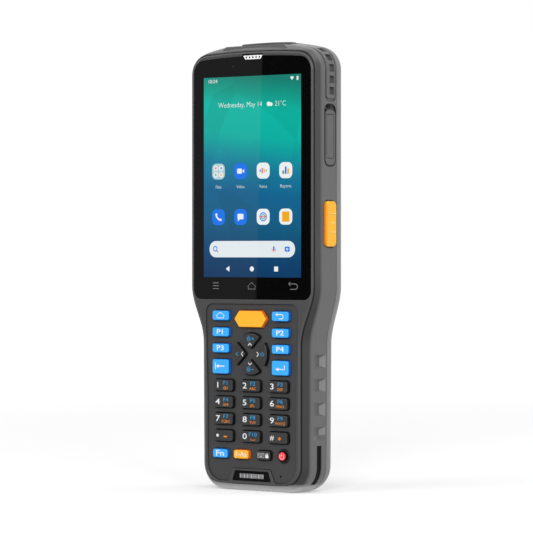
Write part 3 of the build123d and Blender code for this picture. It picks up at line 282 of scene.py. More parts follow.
def paint_lighting_facing(material, low, high, start, stop, colour):
    """Paints light and shade on the faces between two corners, as they lean to the front or the back."""
    tree = material.node_tree
    coords = tree.nodes.new("ShaderNodeTexCoord")
    place = tree.nodes.new("ShaderNodeSeparateXYZ")
    facing = tree.nodes.new("ShaderNodeSeparateXYZ")
    tree.links.new(coords.outputs["Object"], place.inputs[0])
    tree.links.new(coords.outputs["Normal"], facing.inputs[0])
    amount = between(tree, facing.outputs["Y"], start, stop)
    for axis, limit, test in (
        ("Y", low[0], "GREATER_THAN"), ("Y", high[0], "LESS_THAN"),
        ("Z", low[1], "GREATER_THAN"), ("Z", high[1], "LESS_THAN"),
    ):
        inside = calculate(tree, test, place.outputs[axis], limit)
        amount = calculate(tree, "MULTIPLY", amount, inside)
    paint_over(material, amount, colour)


def finish_node(node, material):
    """Gives a CAD node its finish."""
    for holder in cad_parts[node].material_slots:
        holder.material = material


bezel_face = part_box("front_bezel")[0].y
frame_plastic = moulded_plastic("frame_plastic", (27, 27, 28), 0.38, edge=0.35 * mm, shine=0.5)
# painted light and shade over the handle's grey: axis, where each starts, where it is full, colour
# height up the foot where the painted reflection of the white floor starts, and where it is full
floor_reflection_top = 4.2 * mm
floor_reflection_base = 0.0
# the frame above the waist lighter: painted light
head_painted_light = ("Z", 78.0 * mm, 96.0 * mm, (54, 54, 55))
# the lip and flank keep the dark grey as painted shade, and the side wall behind them takes the lighter grey
flank_painted_shade = ("Y", bezel_face + 3.2 * mm, bezel_face + 4.2 * mm, (89, 89, 90))
# the crown lighter: painted light on its top
crown_painted_light = ("Z", 189.0 * mm, 194.0 * mm, (124, 124, 125))
# the foot near white: a painted reflection of the white floor
foot_painted_reflection = ("Z", floor_reflection_top, floor_reflection_base, (238, 238, 239))
for painted_lighting in (head_painted_light, flank_painted_shade, crown_painted_light, foot_painted_reflection):
    paint_lighting_along(frame_plastic, *painted_lighting)
# the side notches' lowest and highest place along y and z, and their slopes' lean and colour: painted shade
# on the long slopes, painted light on the short return slopes
notch_low = (bezel_face + 5.5 * mm, 25.0 * mm)
notch_high = (bezel_face + 14.5 * mm, 63.0 * mm)
shaded_slope = (0.08, 0.2, (66, 66, 67))
lit_slope = (-0.15, -0.4, (126, 126, 127))
for slope in (shaded_slope, lit_slope):
    paint_lighting_facing(frame_plastic, notch_low, notch_high, *slope)
finish_node("main_frame", frame_plastic)

# -------------------------------- front bezel
# A darker ring of the same plastic round the screen and the keys, pressed and glued into
# the main frame. It holds the seats of the cover glass and of the keypad panel.
bezel_plastic = moulded_plastic("bezel_plastic", (65, 65, 66), 0.38, edge=0.4 * mm, shine=0.4)
finish_node("front_bezel", bezel_plastic)

# -------------------------------- rear housing and seal
# The back shell is a lighter tub of the same plastic, held to the frame by six screws.
# A thin rubber cord lies in the seam and keeps out dust and rain.
rear_plastic = moulded_plastic("rear_plastic", (117, 117, 118), 0.34, edge=0.35 * mm, shine=0.6)
# the foot near white: a painted reflection of the white floor
paint_lighting_along(rear_plastic, "Z", floor_reflection_top, floor_reflection_base, (205, 205, 206))
finish_node("rear_housing", rear_plastic)
seal_rubber = moulded_plastic("seal_rubber", (70, 70, 71), 0.6, relief=0.05)
finish_node("housing_seal", seal_rubber)


# -------------------------------- cover glass
# Tempered glass printed black on its back, bonded into the bezel. It is opaque round the
# picture, and the display is laminated to it, so the picture seems to lie at its surface.
def plain_finish(name, colour, roughness, ior=1.5):
    """A smooth even finish, such as glass, acrylic or ink."""
    material = bpy.data.materials.new(name)
    material.use_nodes = True
    shader = material.node_tree.nodes["Principled BSDF"]
    shader.inputs["Base Color"].default_value = screen_colour(colour)
    shader.inputs["Roughness"].default_value = roughness
    shader.inputs["IOR"].default_value = ior
    return material


glass_colour = (6, 6, 7)
glass_polish = 0.012
glass_black = plain_finish("glass_black", glass_colour, glass_polish)
finish_node("cover_glass", glass_black)


# -------------------------------- display
# A 4 inch colour display in portrait. The picture is a home screen: a teal to blue
# wallpaper, a status bar, the date, eight applications, a search field and three buttons.
def lit_colour(name, colour):
    """A lit area of the display, seen through the polished glass."""
    material = plain_finish(name, (0, 0, 0), glass_polish)
    shader = material.node_tree.nodes["Principled BSDF"]
    shader.inputs["Emission Color"].default_value = screen_colour(colour)
    shader.inputs["Emission Strength"].default_value = 1.0
    return material


def drawn(*points):
    """Points of a drawing, given in millimetres."""
    return [(x * mm, y * mm) for x, y in points]


def stand_up(place, depth=0.0):
    """The move that stands a drawing in XY up at its place on a face."""
    return Matrix.Translation((place[0], depth, place[1])) @ Matrix.Rotation(pi / 2, 4, "X")


class Print:
    """Thin closed shapes laid on a face that looks towards -Y, gathered into one piece."""

    def __init__(self, film):
        self.film = film
        self.bm = bmesh.new()
        self.inks = []

    def add_mesh(self, mesh, material):
        """Adds a finished closed mesh in one ink."""
        if material not in self.inks:
            self.inks.append(material)
        for face in mesh.polygons:
            face.material_index = self.inks.index(material)
        self.bm.from_mesh(mesh)
        bpy.data.meshes.remove(mesh)

    def add_curve(self, curve, matrix, material):
        """Turns a drawn curve into a mesh, moves it to its place and adds it."""
        holder = bpy.data.objects.new("curve", curve)
        mesh = bpy.data.meshes.new_from_object(holder)
        mesh.transform(matrix)
        bpy.data.objects.remove(holder)
        bpy.data.curves.remove(curve)
        self.add_mesh(mesh, material)

    def raise_face(self, bm, material, place):
        """Turns flat faces drawn in XY into a closed film in the XZ plane and adds it."""
        grown = bmesh.ops.extrude_face_region(bm, geom=bm.faces[:], use_keep_orig=True)
        top = [item for item in grown["geom"] if isinstance(item, bmesh.types.BMVert)]
        bmesh.ops.translate(bm, verts=top, vec=(0, 0, self.film))
        bmesh.ops.recalc_face_normals(bm, faces=bm.faces[:])
        bmesh.ops.transform(bm, matrix=stand_up(place), verts=bm.verts)
        mesh = bpy.data.meshes.new("film")
        bm.to_mesh(mesh)
        bm.free()
        self.add_mesh(mesh, material)

    def plate(self, material, place, corners, rounding=0.0):
        """A flat shape from its corners, rounded if asked."""
        bm = bmesh.new()
        verts = [bm.verts.new((x, y, 0)) for x, y in corners]
        bm.faces.new(verts)
        if rounding:
            bmesh.ops.bevel(
                bm, geom=verts, offset=rounding, offset_type="OFFSET", segments=5,
                profile=0.5, affect="VERTICES", material=-1,
            )
        self.raise_face(bm, material, place)

    def box(self, material, place, width, height, rounding=0.0):
        """A rectangle."""
        x, y = width / 2, height / 2
        self.plate(material, place, ((-x, -y), (x, -y), (x, y), (-x, y)), rounding)

    def disc(self, material, place, radius):
        """A round dot."""
        bm = bmesh.new()
        bmesh.ops.create_circle(bm, cap_ends=True, radius=radius, segments=24)
        self.raise_face(bm, material, place)

    def line(self, material, place, points, width, closed=False, turn=0.0):
        """A drawn line with square ends, a little crowned."""
        curve = bpy.data.curves.new("line", "CURVE")
        curve.dimensions = "3D"
        curve.bevel_depth = width / 2
        curve.bevel_resolution = 1
        curve.use_fill_caps = not closed
        spline = curve.splines.new("POLY")
        spline.points.add(len(points) - 1)
        spline.use_cyclic_u = closed
        for point, (x, y) in zip(spline.points, points):
            point.co = (x, y, 0, 1)
        flatten = Matrix.Rotation(turn, 4, "Z") @ Matrix.Diagonal((1, 1, 2 * self.film / width, 1))
        self.add_curve(curve, stand_up(place) @ flatten, material)

    def arc(self, material, place, radius, start, stop, width, segments=16):
        """Part of a ring between two angles in degrees, or a whole one."""
        whole = stop - start >= 360
        count = segments if whole else segments + 1
        angles = [radians(start + (stop - start) * step / segments) for step in range(count)]
        points = [(radius * cos(angle), radius * sin(angle)) for angle in angles]
        self.line(material, place, points, width, whole)

    def words(self, material, place, text, height, stretch=1.0, align="CENTER", weight=0.0):
        """Lettering, with the height of its capitals."""
        capital_share = 0.73
        curve = bpy.data.curves.new("words", "FONT")
        curve.body = text
        curve.size = height / capital_share
        curve.align_x = align
        curve.align_y = "CENTER"
        curve.resolution_u = 3
        curve.extrude = self.film / 2
        curve.offset = weight
        widen = Matrix.Diagonal((stretch, 1, 1, 1))
        self.add_curve(curve, stand_up(place, -self.film / 2) @ widen, material)

    def piece(self, name, face, body, slot):
        """Makes the piece, with its back on the plane y = face."""
        mesh = bpy.data.meshes.new(name)
        self.bm.to_mesh(mesh)
        self.bm.free()
        mesh.transform(Matrix.Translation((0, face, 0)))
        for material in self.inks:
            mesh.materials.append(material)
        thing = bpy.data.objects.new(name, mesh)
        bpy.context.scene.collection.objects.link(thing)
        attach(thing, body)


glass_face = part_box("cover_glass")[0].y
layer = 0.02 * mm
picture_half = 26.13 * mm
picture_low = 92.67 * mm
picture_high = 179.75 * mm
picture_middle = (picture_low + picture_high) / 2
picture_height = picture_high - picture_low

# the wallpaper's colours lie in bands up the screen, a little lower on its right
band_lean = 0.12
wallpaper_light = lit_colour("wallpaper_light", (27, 180, 163))
tree = wallpaper_light.node_tree
shader = tree.nodes["Principled BSDF"]
place = tree.nodes.new("ShaderNodeTexCoord")
split = tree.nodes.new("ShaderNodeSeparateXYZ")
tree.links.new(place.outputs["Object"], split.inputs[0])
drift = calculate(tree, "MULTIPLY_ADD", split.outputs["X"], band_lean, split.outputs["Z"])
ramp = tree.nodes.new("ShaderNodeValToRGB")
stops = {
    0.0: (16, 58, 100),
    0.1: (18, 66, 108),
    0.26: (22, 90, 126),
    0.42: (20, 96, 138),
    0.55: (24, 122, 152),
    0.70: (14, 172, 158),
    0.84: (14, 178, 160),
    0.93: (22, 150, 132),
    1.0: (28, 126, 112),
}
while len(ramp.color_ramp.elements) < len(stops):
    ramp.color_ramp.elements.new(0.5)
for element, (height, colour) in zip(ramp.color_ramp.elements, stops.items()):
    element.position = height
    element.color = screen_colour(colour)
tree.links.new(between(tree, drift, picture_low, picture_high), ramp.inputs["Fac"])
tree.links.new(ramp.outputs["Color"], shader.inputs["Emission Color"])
# faint facets, about 2 cm wide
facets_per_metre = 55.0
facet_dark = 0.94
facet_bright = 1.08
facets = tree.nodes.new("ShaderNodeTexVoronoi")
facets.inputs["Scale"].default_value = facets_per_metre
facet_split = tree.nodes.new("ShaderNodeSeparateColor")
tree.links.new(place.outputs["Object"], facets.inputs["Vector"])
tree.links.new(facets.outputs["Color"], facet_split.inputs["Color"])
facet_light = between(tree, facet_split.outputs["Red"], 0.0, 1.0, facet_dark, facet_bright)
tree.links.new(facet_light, shader.inputs["Emission Strength"])

wallpaper = Print(layer)
wallpaper.box(wallpaper_light, (0, picture_middle), 2 * picture_half, picture_height)
wallpaper.piece("display_wallpaper", glass_face, "casing", "display")

# status bar and date
white_light = lit_colour("white_light", (235, 240, 240))
writing = Print(layer)
status_height = 178.0 * mm
clock_at = (-21.3 * mm, status_height)
charge_at = (24.3 * mm, status_height)
signal_at = (21.4 * mm, status_height)
writing.words(white_light, clock_at, "10:24", 1.6 * mm, 1.1)
writing.box(white_light, charge_at, 0.9 * mm, 1.7 * mm, 0.15 * mm)
writing.plate(white_light, signal_at, drawn((0, -0.8), (1.05, 0.55), (0, 0.85), (-1.05, 0.55)))
date_height = 167.4 * mm
date_type = {"height": 2.3 * mm, "stretch": 0.92, "align": "LEFT", "weight": -0.04 * mm}
writing.words(white_light, (-18.2 * mm, date_height), "Wednesday, May 14", **date_type)
writing.disc(white_light, (9.0 * mm, date_height), 1.0 * mm)
writing.disc(white_light, (10.3 * mm, date_height - 0.2 * mm), 0.8 * mm)
writing.words(white_light, (12.2 * mm, date_height), "21°C", **date_type)
label_height = 131.9 * mm
columns = [-18.1 * mm, -6.1 * mm, 6.1 * mm, 18.1 * mm]
for x, label in zip(columns, ("Files", "Video", "Voice", "Reports")):
    writing.words(white_light, (x, label_height), label, 1.5 * mm, 0.9, weight=-0.03 * mm)
writing.piece("display_words", glass_face - layer, "casing", "display")

# application icons
blue_light = lit_colour("blue_light", (26, 115, 232))
pale_light = lit_colour("pale_light", (176, 208, 214))
amber_light = lit_colour("amber_light", (240, 170, 30))
red_light = lit_colour("red_light", (228, 66, 56))
green_light = lit_colour("green_light", (50, 160, 88))
dark_light = lit_colour("dark_light", (58, 44, 20))
icon_size = 6.9 * mm
icon_round = 2.2 * mm
upper_row = 138.7 * mm
lower_row = 118.8 * mm
icons = Print(layer)
grounds = {
    upper_row: (pale_light, blue_light, white_light, white_light),
    lower_row: (blue_light, blue_light, white_light, white_light),
}
for z, inks in grounds.items():
    for x, ink in zip(columns, inks):
        icons.box(ink, (x, z), icon_size, icon_size, icon_round)
search_row = 104.85 * mm
search_width = 46.0 * mm
search_tall = 7.1 * mm
search_light = lit_colour("pill_light", (226, 234, 237))
icons.box(search_light, (0, search_row), search_width, search_tall, 3.4 * mm)
icons.piece("display_icons", glass_face - layer, "casing", "display")

# what each icon shows: a folder of four dots, a camera, a voice wave, a bar chart; below
# them a telephone, a speech bubble, a globe and a notebook
glyphs = Print(layer)
quarter = 1.45 * mm
for dx, dz, ink in (
    (-quarter, quarter, red_light), (quarter, quarter, blue_light),
    (-quarter, -quarter, green_light), (quarter, -quarter, amber_light),
):
    glyphs.disc(white_light, (columns[0] + dx, upper_row + dz), 1.15 * mm)
    glyphs.disc(ink, (columns[0] + dx, upper_row + dz), 0.6 * mm)
x = columns[1]
glyphs.box(white_light, (x - 0.5 * mm, upper_row), 2.6 * mm, 2.2 * mm, 0.4 * mm)
glyphs.plate(white_light, (x + 1.5 * mm, upper_row), drawn((-0.5, 0), (0.5, -0.9), (0.5, 0.9)))
x = columns[2]
wave = ((1.2, blue_light), (2.6, red_light), (1.8, amber_light), (0.9, green_light))
for step, (height, ink) in enumerate(wave):
    glyphs.box(ink, (x + (step - 1.5) * 1.05 * mm, upper_row), 0.6 * mm, height * mm, 0.29 * mm)
x = columns[3]
chart_foot = 1.6
for step, (height, ink) in enumerate(((1.5, green_light), (3.2, blue_light), (2.3, amber_light))):
    middle = (x + (step - 1) * 1.3 * mm, upper_row + (height / 2 - chart_foot) * mm)
    glyphs.box(ink, middle, 0.9 * mm, height * mm, 0.1 * mm)
x = columns[0]
glyphs.arc(white_light, (x + 1.3 * mm, lower_row + 1.3 * mm), 2.5 * mm, 180, 270, 0.75 * mm)
glyphs.box(white_light, (x - 1.15 * mm, lower_row + 1.1 * mm), 1.0 * mm, 1.2 * mm, 0.3 * mm)
glyphs.box(white_light, (x + 1.1 * mm, lower_row - 1.15 * mm), 1.2 * mm, 1.0 * mm, 0.3 * mm)
x = columns[1]
glyphs.box(white_light, (x, lower_row + 0.2 * mm), 3.2 * mm, 2.4 * mm, 0.4 * mm)
glyphs.plate(white_light, (x - 0.9 * mm, lower_row - 1.3 * mm), drawn((-0.5, 0.4), (-0.5, -0.6), (0.6, 0.4)))
x = columns[2]
glyphs.arc(blue_light, (x, lower_row), 1.75 * mm, 0, 360, 0.5 * mm, 28)
glyphs.arc(green_light, (x, lower_row), 0.95 * mm, 0, 360, 0.45 * mm, 20)
glyphs.line(red_light, (x, lower_row), drawn((-1.7, 0), (1.7, 0)), 0.45 * mm)
x = columns[3]
glyphs.box(amber_light, (x, lower_row), 3.8 * mm, 4.4 * mm, 0.3 * mm)
glyphs.arc(dark_light, (x, lower_row), 0.85 * mm, 0, 360, 0.5 * mm, 20)
# the search field's lens, microphone and camera, and the three buttons under it
lens_at = (-19.9 * mm, search_row + 0.2 * mm)
glyphs.arc(blue_light, lens_at, 1.0 * mm, 0, 360, 0.45 * mm, 20)
glyphs.line(red_light, lens_at, drawn((0.75, -0.75), (1.6, -1.6)), 0.45 * mm)
voice_x = 11.8 * mm
glyphs.box(blue_light, (voice_x, search_row + 0.35 * mm), 0.8 * mm, 1.8 * mm, 0.38 * mm)
glyphs.arc(red_light, (voice_x, search_row + 0.2 * mm), 1.0 * mm, 180, 360, 0.3 * mm)
glyphs.line(amber_light, (voice_x, search_row), drawn((0, -0.8), (0, -1.5)), 0.3 * mm)
camera_x = 18.9 * mm
glyphs.box(blue_light, (camera_x, search_row), 2.6 * mm, 2.2 * mm, 0.5 * mm)
glyphs.disc(white_light, (camera_x, search_row), 0.6 * mm)
button_row = 96.3 * mm
glyphs.plate(white_light, (-13.0 * mm, button_row), drawn((-1.1, 0), (0.9, -1.25), (0.9, 1.25)))
glyphs.disc(white_light, (0.05 * mm, button_row), 1.1 * mm)
glyphs.box(white_light, (13.0 * mm, button_row), 2.1 * mm, 2.1 * mm, 0.1 * mm)
glyphs.piece("display_glyphs", glass_face - 2 * layer, "casing", "display")

# -------------------------------- touch keys and sensor
# Three touch keys are printed grey on the back of the glass under the picture, and the
# light sensor looks out through a small window near the earpiece.
grey_print = plain_finish("grey_print", (118, 118, 118), 0.08)
touch_row = 88.9 * mm
touch_line = 0.34 * mm
touch = Print(layer)
for dz in (-1.25 * mm, 0, 1.25 * mm):
    touch.line(grey_print, (-19.6 * mm, touch_row + dz), drawn((-1.6, 0), (1.6, 0)), touch_line)
touch.line(
    grey_print, (-0.1 * mm, touch_row),
    drawn((-2.3, -0.3), (0, 1.5), (2.3, -0.3), (1.8, -0.3), (1.8, -1.3), (-1.8, -1.3), (-1.8, -0.3)),
    touch_line, closed=True,
)
# the return arrow runs along its top, round a bend of nine points and back along its foot
back_at = (22.0 * mm, touch_row)
bend_x = 1.1 * mm
bend_z = -0.1 * mm
bend = 1.15 * mm
back_arrow = [(-2.3 * mm, bend_z + bend), (bend_x, bend_z + bend)]
for step in range(9):
    angle = radians(80 - step * 20)
    back_arrow.append((bend_x + bend * cos(angle), bend_z + bend * sin(angle)))
back_arrow.append((-1.6 * mm, -1.25 * mm))
touch.line(grey_print, back_at, back_arrow, touch_line)
arrow_head = drawn((-1.5, 1.85), (-2.4, 1.05), (-1.5, 0.25))
touch.line(grey_print, back_at, arrow_head, touch_line)
touch.piece("touch_keys", glass_face, "casing", "cover_glass")
sensor_plastic = moulded_plastic("sensor_plastic", (44, 44, 50), 0.2)
sensor = Print(layer)
sensor.disc(sensor_plastic, (-10.1 * mm, 184.1 * mm), 0.42 * mm)
sensor.piece("light_sensor", glass_face, "casing", "cover_glass")

# -------------------------------- earpiece
# A white punched plate in front of the receiver, set into a notch of the glass and glued
# from behind. Just behind its face it turns near-black, a painted shade, so its holes look black.
grille_paint = moulded_plastic("grille_paint", (236, 236, 234), 0.45, relief=0.05)
grille_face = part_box("earpiece_grille")[0].y
# the hole walls and back painted near-black: painted shade in the holes
hole_shade = ("Y", grille_face + 0.05 * mm, grille_face + 0.15 * mm, (6, 6, 6))
paint_lighting_along(grille_paint, *hole_shade)
finish_node("earpiece_grille", grille_paint)

# -------------------------------- keypad panel
# The plate round the keys is a separate satin moulding, bonded into the bezel. Behind it
# lies the silicone membrane that springs the keys back.
finish_node("keypad_panel", moulded_plastic("panel_plastic", (58, 58, 59), 0.42, edge=0.3 * mm))
finish_node("keypad_membrane", moulded_plastic("membrane_rubber", (60, 60, 62), 0.7, relief=0.05))

# -------------------------------- keys
# Each key is a moulded cap in coloured plastic with a printed legend. Blue and orange caps
# are dyed through, and the power key is a round red cap.
key_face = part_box("key_1")[0].y
key_round = 0.15 * mm
key_side = 0.5 * mm


def key_plastic(name, face, side, roughness=0.3):
    """A glossy cap, darker down its sides, where less light falls between the keys."""
    material = moulded_plastic(name, face, roughness, relief=0.04, edge=0.25 * mm, shine=0.5)
    paint_lighting_along(material, "Y", key_face + key_round, key_face + key_side, side)
    return material


key_blue = key_plastic("key_blue", (50, 172, 255), (18, 92, 178))
key_orange = key_plastic("key_orange", (255, 182, 38), (226, 106, 8))
key_dark = key_plastic("key_dark", (40, 40, 41), (10, 10, 10), 0.36)
key_red = key_plastic("key_red", (252, 58, 70), (14, 12, 12))
blue_keys = ("home", "return", "p1", "p2", "p3", "p4", "tab", "enter", "fn")
orange_keys = ("scan", "mode")
dark_keys = (
    "up", "left", "down", "right", "lock",
    "1", "2", "3", "4", "5", "6", "7", "8", "9", "point", "0", "hash",
)
for names, plastic in (
    (blue_keys, key_blue), (orange_keys, key_orange), (dark_keys, key_dark), (("power",), key_red),
):
    for name in names:
        finish_node("key_" + name, plastic)

# silk-screened inks
ink_gloss = 0.5
ink_film = 0.02 * mm
white_ink = plain_finish("white_ink", (236, 238, 240), ink_gloss)
blue_ink = plain_finish("blue_ink", (30, 150, 205), ink_gloss)
orange_ink = plain_finish("orange_ink", (240, 140, 24), ink_gloss)
pale_ink = plain_finish("pale_ink", (255, 206, 208), ink_gloss)


def legend(name):
    """An empty legend for one key, with the middle of the key's face."""
    low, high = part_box("key_" + name)
    return Print(ink_film), (low.x + high.x) / 2, (low.z + high.z) / 2


def print_legend(name, mark):
    """Prints a finished legend on its key."""
    mark.piece("legend_" + name, key_face, "key_" + name, "grille_white")


# numbers with their blue function and orange letters
number_legends = {
    "1": ("F1", "@:/"), "2": ("F2", "ABC"), "3": ("F3", "DEF"),
    "4": ("F4", "GHI"), "5": ("F5", "JKL"), "6": ("F6", "MNO"),
    "7": ("F7", "PQRS"), "8": ("F8", "TUV"), "9": ("F9", "WXYZ"), "0": ("F10", None),
}
number_x = -2.8 * mm
bold = 0.02 * mm
space_bar = drawn((-1.1, 0.35), (-1.1, -0.3), (1.1, -0.3), (1.1, 0.35))
for name, (function, letters) in number_legends.items():
    mark, x, z = legend(name)
    mark.words(white_ink, (x + number_x, z), name, 2.6 * mm, 1.4, weight=bold)
    mark.words(blue_ink, (x + 1.5 * mm, z + 0.95 * mm), function, 1.75 * mm, 1.3)
    if letters:
        mark.words(orange_ink, (x + 1.5 * mm, z - 1.15 * mm), letters, 1.15 * mm, 1.15)
    else:
        mark.line(orange_ink, (x + 1.6 * mm, z - 1.1 * mm), space_bar, 0.28 * mm)
    print_legend(name, mark)
mark, x, z = legend("point")
mark.disc(white_ink, (x - 2.9 * mm, z), 0.65 * mm)
mark.box(orange_ink, (x + 1.3 * mm, z - 0.4 * mm), 1.9 * mm, 0.6 * mm)
print_legend("point", mark)
mark, x, z = legend("hash")
mark.words(white_ink, (x + number_x, z), "#", 2.2 * mm, 1.2, weight=bold)
mark.words(orange_ink, (x + 1.2 * mm, z - 1.0 * mm), "*", 2.6 * mm, 1.2, weight=bold)
print_legend("hash", mark)

# words on the blue and orange keys: letters, height, width, weight
heavy = 0.04 * mm
word_legends = {name: (name.upper(), 2.2 * mm, 1.4, heavy) for name in ("p1", "p2", "p3", "p4")}
word_legends["fn"] = ("Fn", 2.6 * mm, 1.4, heavy)
word_legends["mode"] = ("1-Aa", 2.2 * mm, 1.1, 0.0)
for name, (text, height, width, weight) in word_legends.items():
    mark, x, z = legend(name)
    mark.words(white_ink, (x, z), text, height, width, weight=weight)
    print_legend(name, mark)

# signs: a house, a return arrow, a tab arrow with its stop, an enter arrow
sign_line = 0.42 * mm
mark, x, z = legend("home")
mark.line(
    white_ink, (x, z),
    drawn((-2.3, -0.1), (0, 1.4), (2.3, -0.1), (1.8, -0.1), (1.8, -1.1), (-1.8, -1.1), (-1.8, -0.1)),
    sign_line, closed=True,
)
print_legend("home", mark)
mark, x, z = legend("return")
mark.line(
    white_ink, (x, z),
    drawn((-1.7, 0.75), (1.1, 0.75), (1.7, 0.3), (1.7, -0.65), (1.1, -1.1), (-0.5, -1.1)),
    sign_line,
)
return_head = drawn((-0.4, 0), (0.6, -0.75), (0.6, 0.75))
mark.plate(white_ink, (x - 1.9 * mm, z + 0.75 * mm), return_head)
print_legend("return", mark)
mark, x, z = legend("tab")
mark.line(white_ink, (x, z), drawn((-2.7, -1.3), (-2.7, 1.6)), 0.48 * mm)
mark.line(white_ink, (x, z), drawn((-1.3, 0.15), (2.2, 0.15)), 0.5 * mm)
tab_head = drawn((-0.7, 0), (0.7, -0.9), (0.7, 0.9))
mark.plate(white_ink, (x - 1.6 * mm, z + 0.15 * mm), tab_head)
print_legend("tab", mark)
mark, x, z = legend("enter")
enter_stem = drawn((2.4, 1.2), (2.4, -0.5), (-1.2, -0.5))
enter_head = drawn((-1.0, 0), (0.8, -0.75), (0.8, 0.75))
mark.line(white_ink, (x, z), enter_stem, 0.5 * mm)
mark.plate(white_ink, (x - 1.5 * mm, z - 0.5 * mm), enter_head)
print_legend("enter", mark)

# arrow keys: a white chevron at the inner end; at the rim a blue sun with plus or minus
# above and below, and a blue loudspeaker at the sides, with a sound wave on the right
pad_x = 0.0
pad_z = (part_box("key_up")[1].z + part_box("key_down")[0].z) / 2
chevron_reach = 4.2 * mm
sign_reach = 6.6 * mm
sun_shift = -0.7 * mm
plus_shift = 2.2 * mm
sun_line = 0.3 * mm
ray_start = 0.9 * mm
ray_end = 1.25 * mm
chevron = drawn((-0.95, -0.45), (0, 0.45), (0.95, -0.45))
minus = drawn((-0.6, 0), (0.6, 0))
plus_stem = drawn((0, -0.6), (0, 0.6))
speaker = drawn((-0.8, -0.35), (-0.8, 0.35), (-0.3, 0.35), (0.3, 0.85), (0.3, -0.85), (-0.3, -0.35))
for name, degrees in (("up", 0), ("left", 90), ("down", 180), ("right", 270)):
    turn = radians(degrees)
    out_x, out_z = -sin(turn), cos(turn)
    chevron_at = (pad_x + out_x * chevron_reach, pad_z + out_z * chevron_reach)
    x = pad_x + out_x * sign_reach
    z = pad_z + out_z * sign_reach
    mark = Print(ink_film)
    mark.line(white_ink, chevron_at, chevron, sign_line, turn=turn)
    if name in ("up", "down"):
        x += sun_shift
        mark.arc(blue_ink, (x, z), 0.55 * mm, 0, 360, sun_line, 14)
        for ray in range(8):
            along_x, along_z = cos(radians(45 * ray)), sin(radians(45 * ray))
            sunbeam = ((ray_start * along_x, ray_start * along_z), (ray_end * along_x, ray_end * along_z))
            mark.line(blue_ink, (x, z), sunbeam, sun_line)
        mark.line(blue_ink, (x + plus_shift, z), minus, sun_line)
        if name == "up":
            mark.line(blue_ink, (x + plus_shift, z), plus_stem, sun_line)
    else:
        mark.line(blue_ink, (x - 0.2 * mm, z), speaker, sun_line, closed=True)
        if name == "right":
            mark.arc(blue_ink, (x, z), 0.9 * mm, -45, 45, sun_line, 6)
    print_legend(name, mark)

# keyboard and padlock on the lock key, power sign on the red key
mark, x, z = legend("lock")
board_frame = drawn((-1.7, -0.9), (1.7, -0.9), (1.7, 0.9), (-1.7, 0.9))
board_x = x - 1.0 * mm
lock_x = x + 2.2 * mm
dot_left = x - 2.2 * mm
dot_top = z + 0.4 * mm
dot_pitch = 0.8 * mm
dot_row = 0.45 * mm
mark.line(white_ink, (board_x, z), board_frame, 0.16 * mm, closed=True)
for row in range(2):
    for step in range(4):
        dot_at = (dot_left + dot_pitch * step, dot_top - dot_row * row)
        mark.box(white_ink, dot_at, 0.3 * mm, 0.2 * mm)
mark.box(white_ink, (board_x, z - 0.5 * mm), 1.8 * mm, 0.18 * mm)
mark.box(white_ink, (lock_x, z - 0.4 * mm), 1.6 * mm, 1.3 * mm, 0.12 * mm)
mark.arc(white_ink, (lock_x, z + 0.3 * mm), 0.5 * mm, 0, 180, 0.3 * mm, 10)
print_legend("lock", mark)
mark, x, z = legend("power")
power_line = 0.28 * mm
mark.arc(pale_ink, (x, z - 0.1 * mm), 1.05 * mm, 130, 410, power_line, 18)
mark.line(pale_ink, (x, z), drawn((0, 0.1), (0, 1.25)), power_line)
print_legend("power", mark)

# the red key stands in a raised black collar of the panel
collar_inner = 2.4 * mm
collar_outer = 3.25 * mm
collar_rise = 0.55 * mm
collar_draft = 0.1 * mm
collar_chamfer = 0.35 * mm
panel_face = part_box("keypad_panel")[0].y
section = (
    (collar_inner, 0.0), (collar_inner + collar_draft, collar_rise),
    (collar_outer - collar_chamfer, collar_rise), (collar_outer, 0.0),
)
bm = bmesh.new()
rim = [bm.verts.new((radius, -rise, 0)) for radius, rise in section]
edges = [bm.edges.new((rim[step], rim[(step + 1) % len(rim)])) for step in range(len(rim))]
bmesh.ops.spin(
    bm, geom=rim + edges, angle=2 * pi, steps=48, axis=(0, 1, 0), cent=(0, 0, 0), use_merge=True
)
bmesh.ops.remove_doubles(bm, verts=bm.verts[:], dist=0.001 * mm)
bmesh.ops.recalc_face_normals(bm, faces=bm.faces[:])
bmesh.ops.translate(bm, verts=bm.verts[:], vec=(x, panel_face, z))
collar_mesh = bpy.data.meshes.new("power_collar")
bm.to_mesh(collar_mesh)
bm.free()
collar_mesh.materials.append(moulded_plastic("collar_plastic", (16, 16, 17), 0.28, relief=0.03))
collar = bpy.data.objects.new("power_collar", collar_mesh)
bpy.context.scene.collection.objects.link(collar)
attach(collar, "casing")

# -------------------------------- badge plate
# A small black plate, glued into its seat under the keys. It carries a plain pattern of
# printed bars and no name.
badge_black = moulded_plastic("badge_black", (6, 6, 7), 0.3, relief=0.02, shine=0.08)
finish_node("badge_plate", badge_black)
bar_ink = plain_finish("bar_ink", (178, 178, 180), ink_gloss)
badge_low, badge_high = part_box("badge_plate")
badge_z = (badge_low.z + badge_high.z) / 2
bar_widths = (0.5, 0.25, 0.25, 0.75, 0.25, 0.5, 0.25, 0.25, 0.75, 0.5, 0.25, 0.5, 0.25, 0.75, 0.25, 0.25, 0.5)
bar_gap = 0.35
bar_height = 1.9 * mm
bar_x = -(sum(bar_widths) + bar_gap * (len(bar_widths) - 1)) / 2
bars = Print(ink_film)
for width in bar_widths:
    bars.box(bar_ink, ((bar_x + width / 2) * mm, badge_z), width * mm, bar_height)
    bar_x += width + bar_gap
bars.piece("badge_bars", badge_low.y, "casing", "badge_metal")

# -------------------------------- scan window and hood
# The red-tinted acrylic window lies in a glossy hood on the crown, above the scan engine.
# The hood is a moulding of its own, clipped over the window's edges.
hood_plastic = moulded_plastic("hood_plastic", (94, 94, 95), 0.34, edge=0.4 * mm, shine=0.5)
finish_node("scan_window_frame", hood_plastic)
finish_node("scan_window", plain_finish("window_red", (60, 8, 14), 0.04, 1.49))
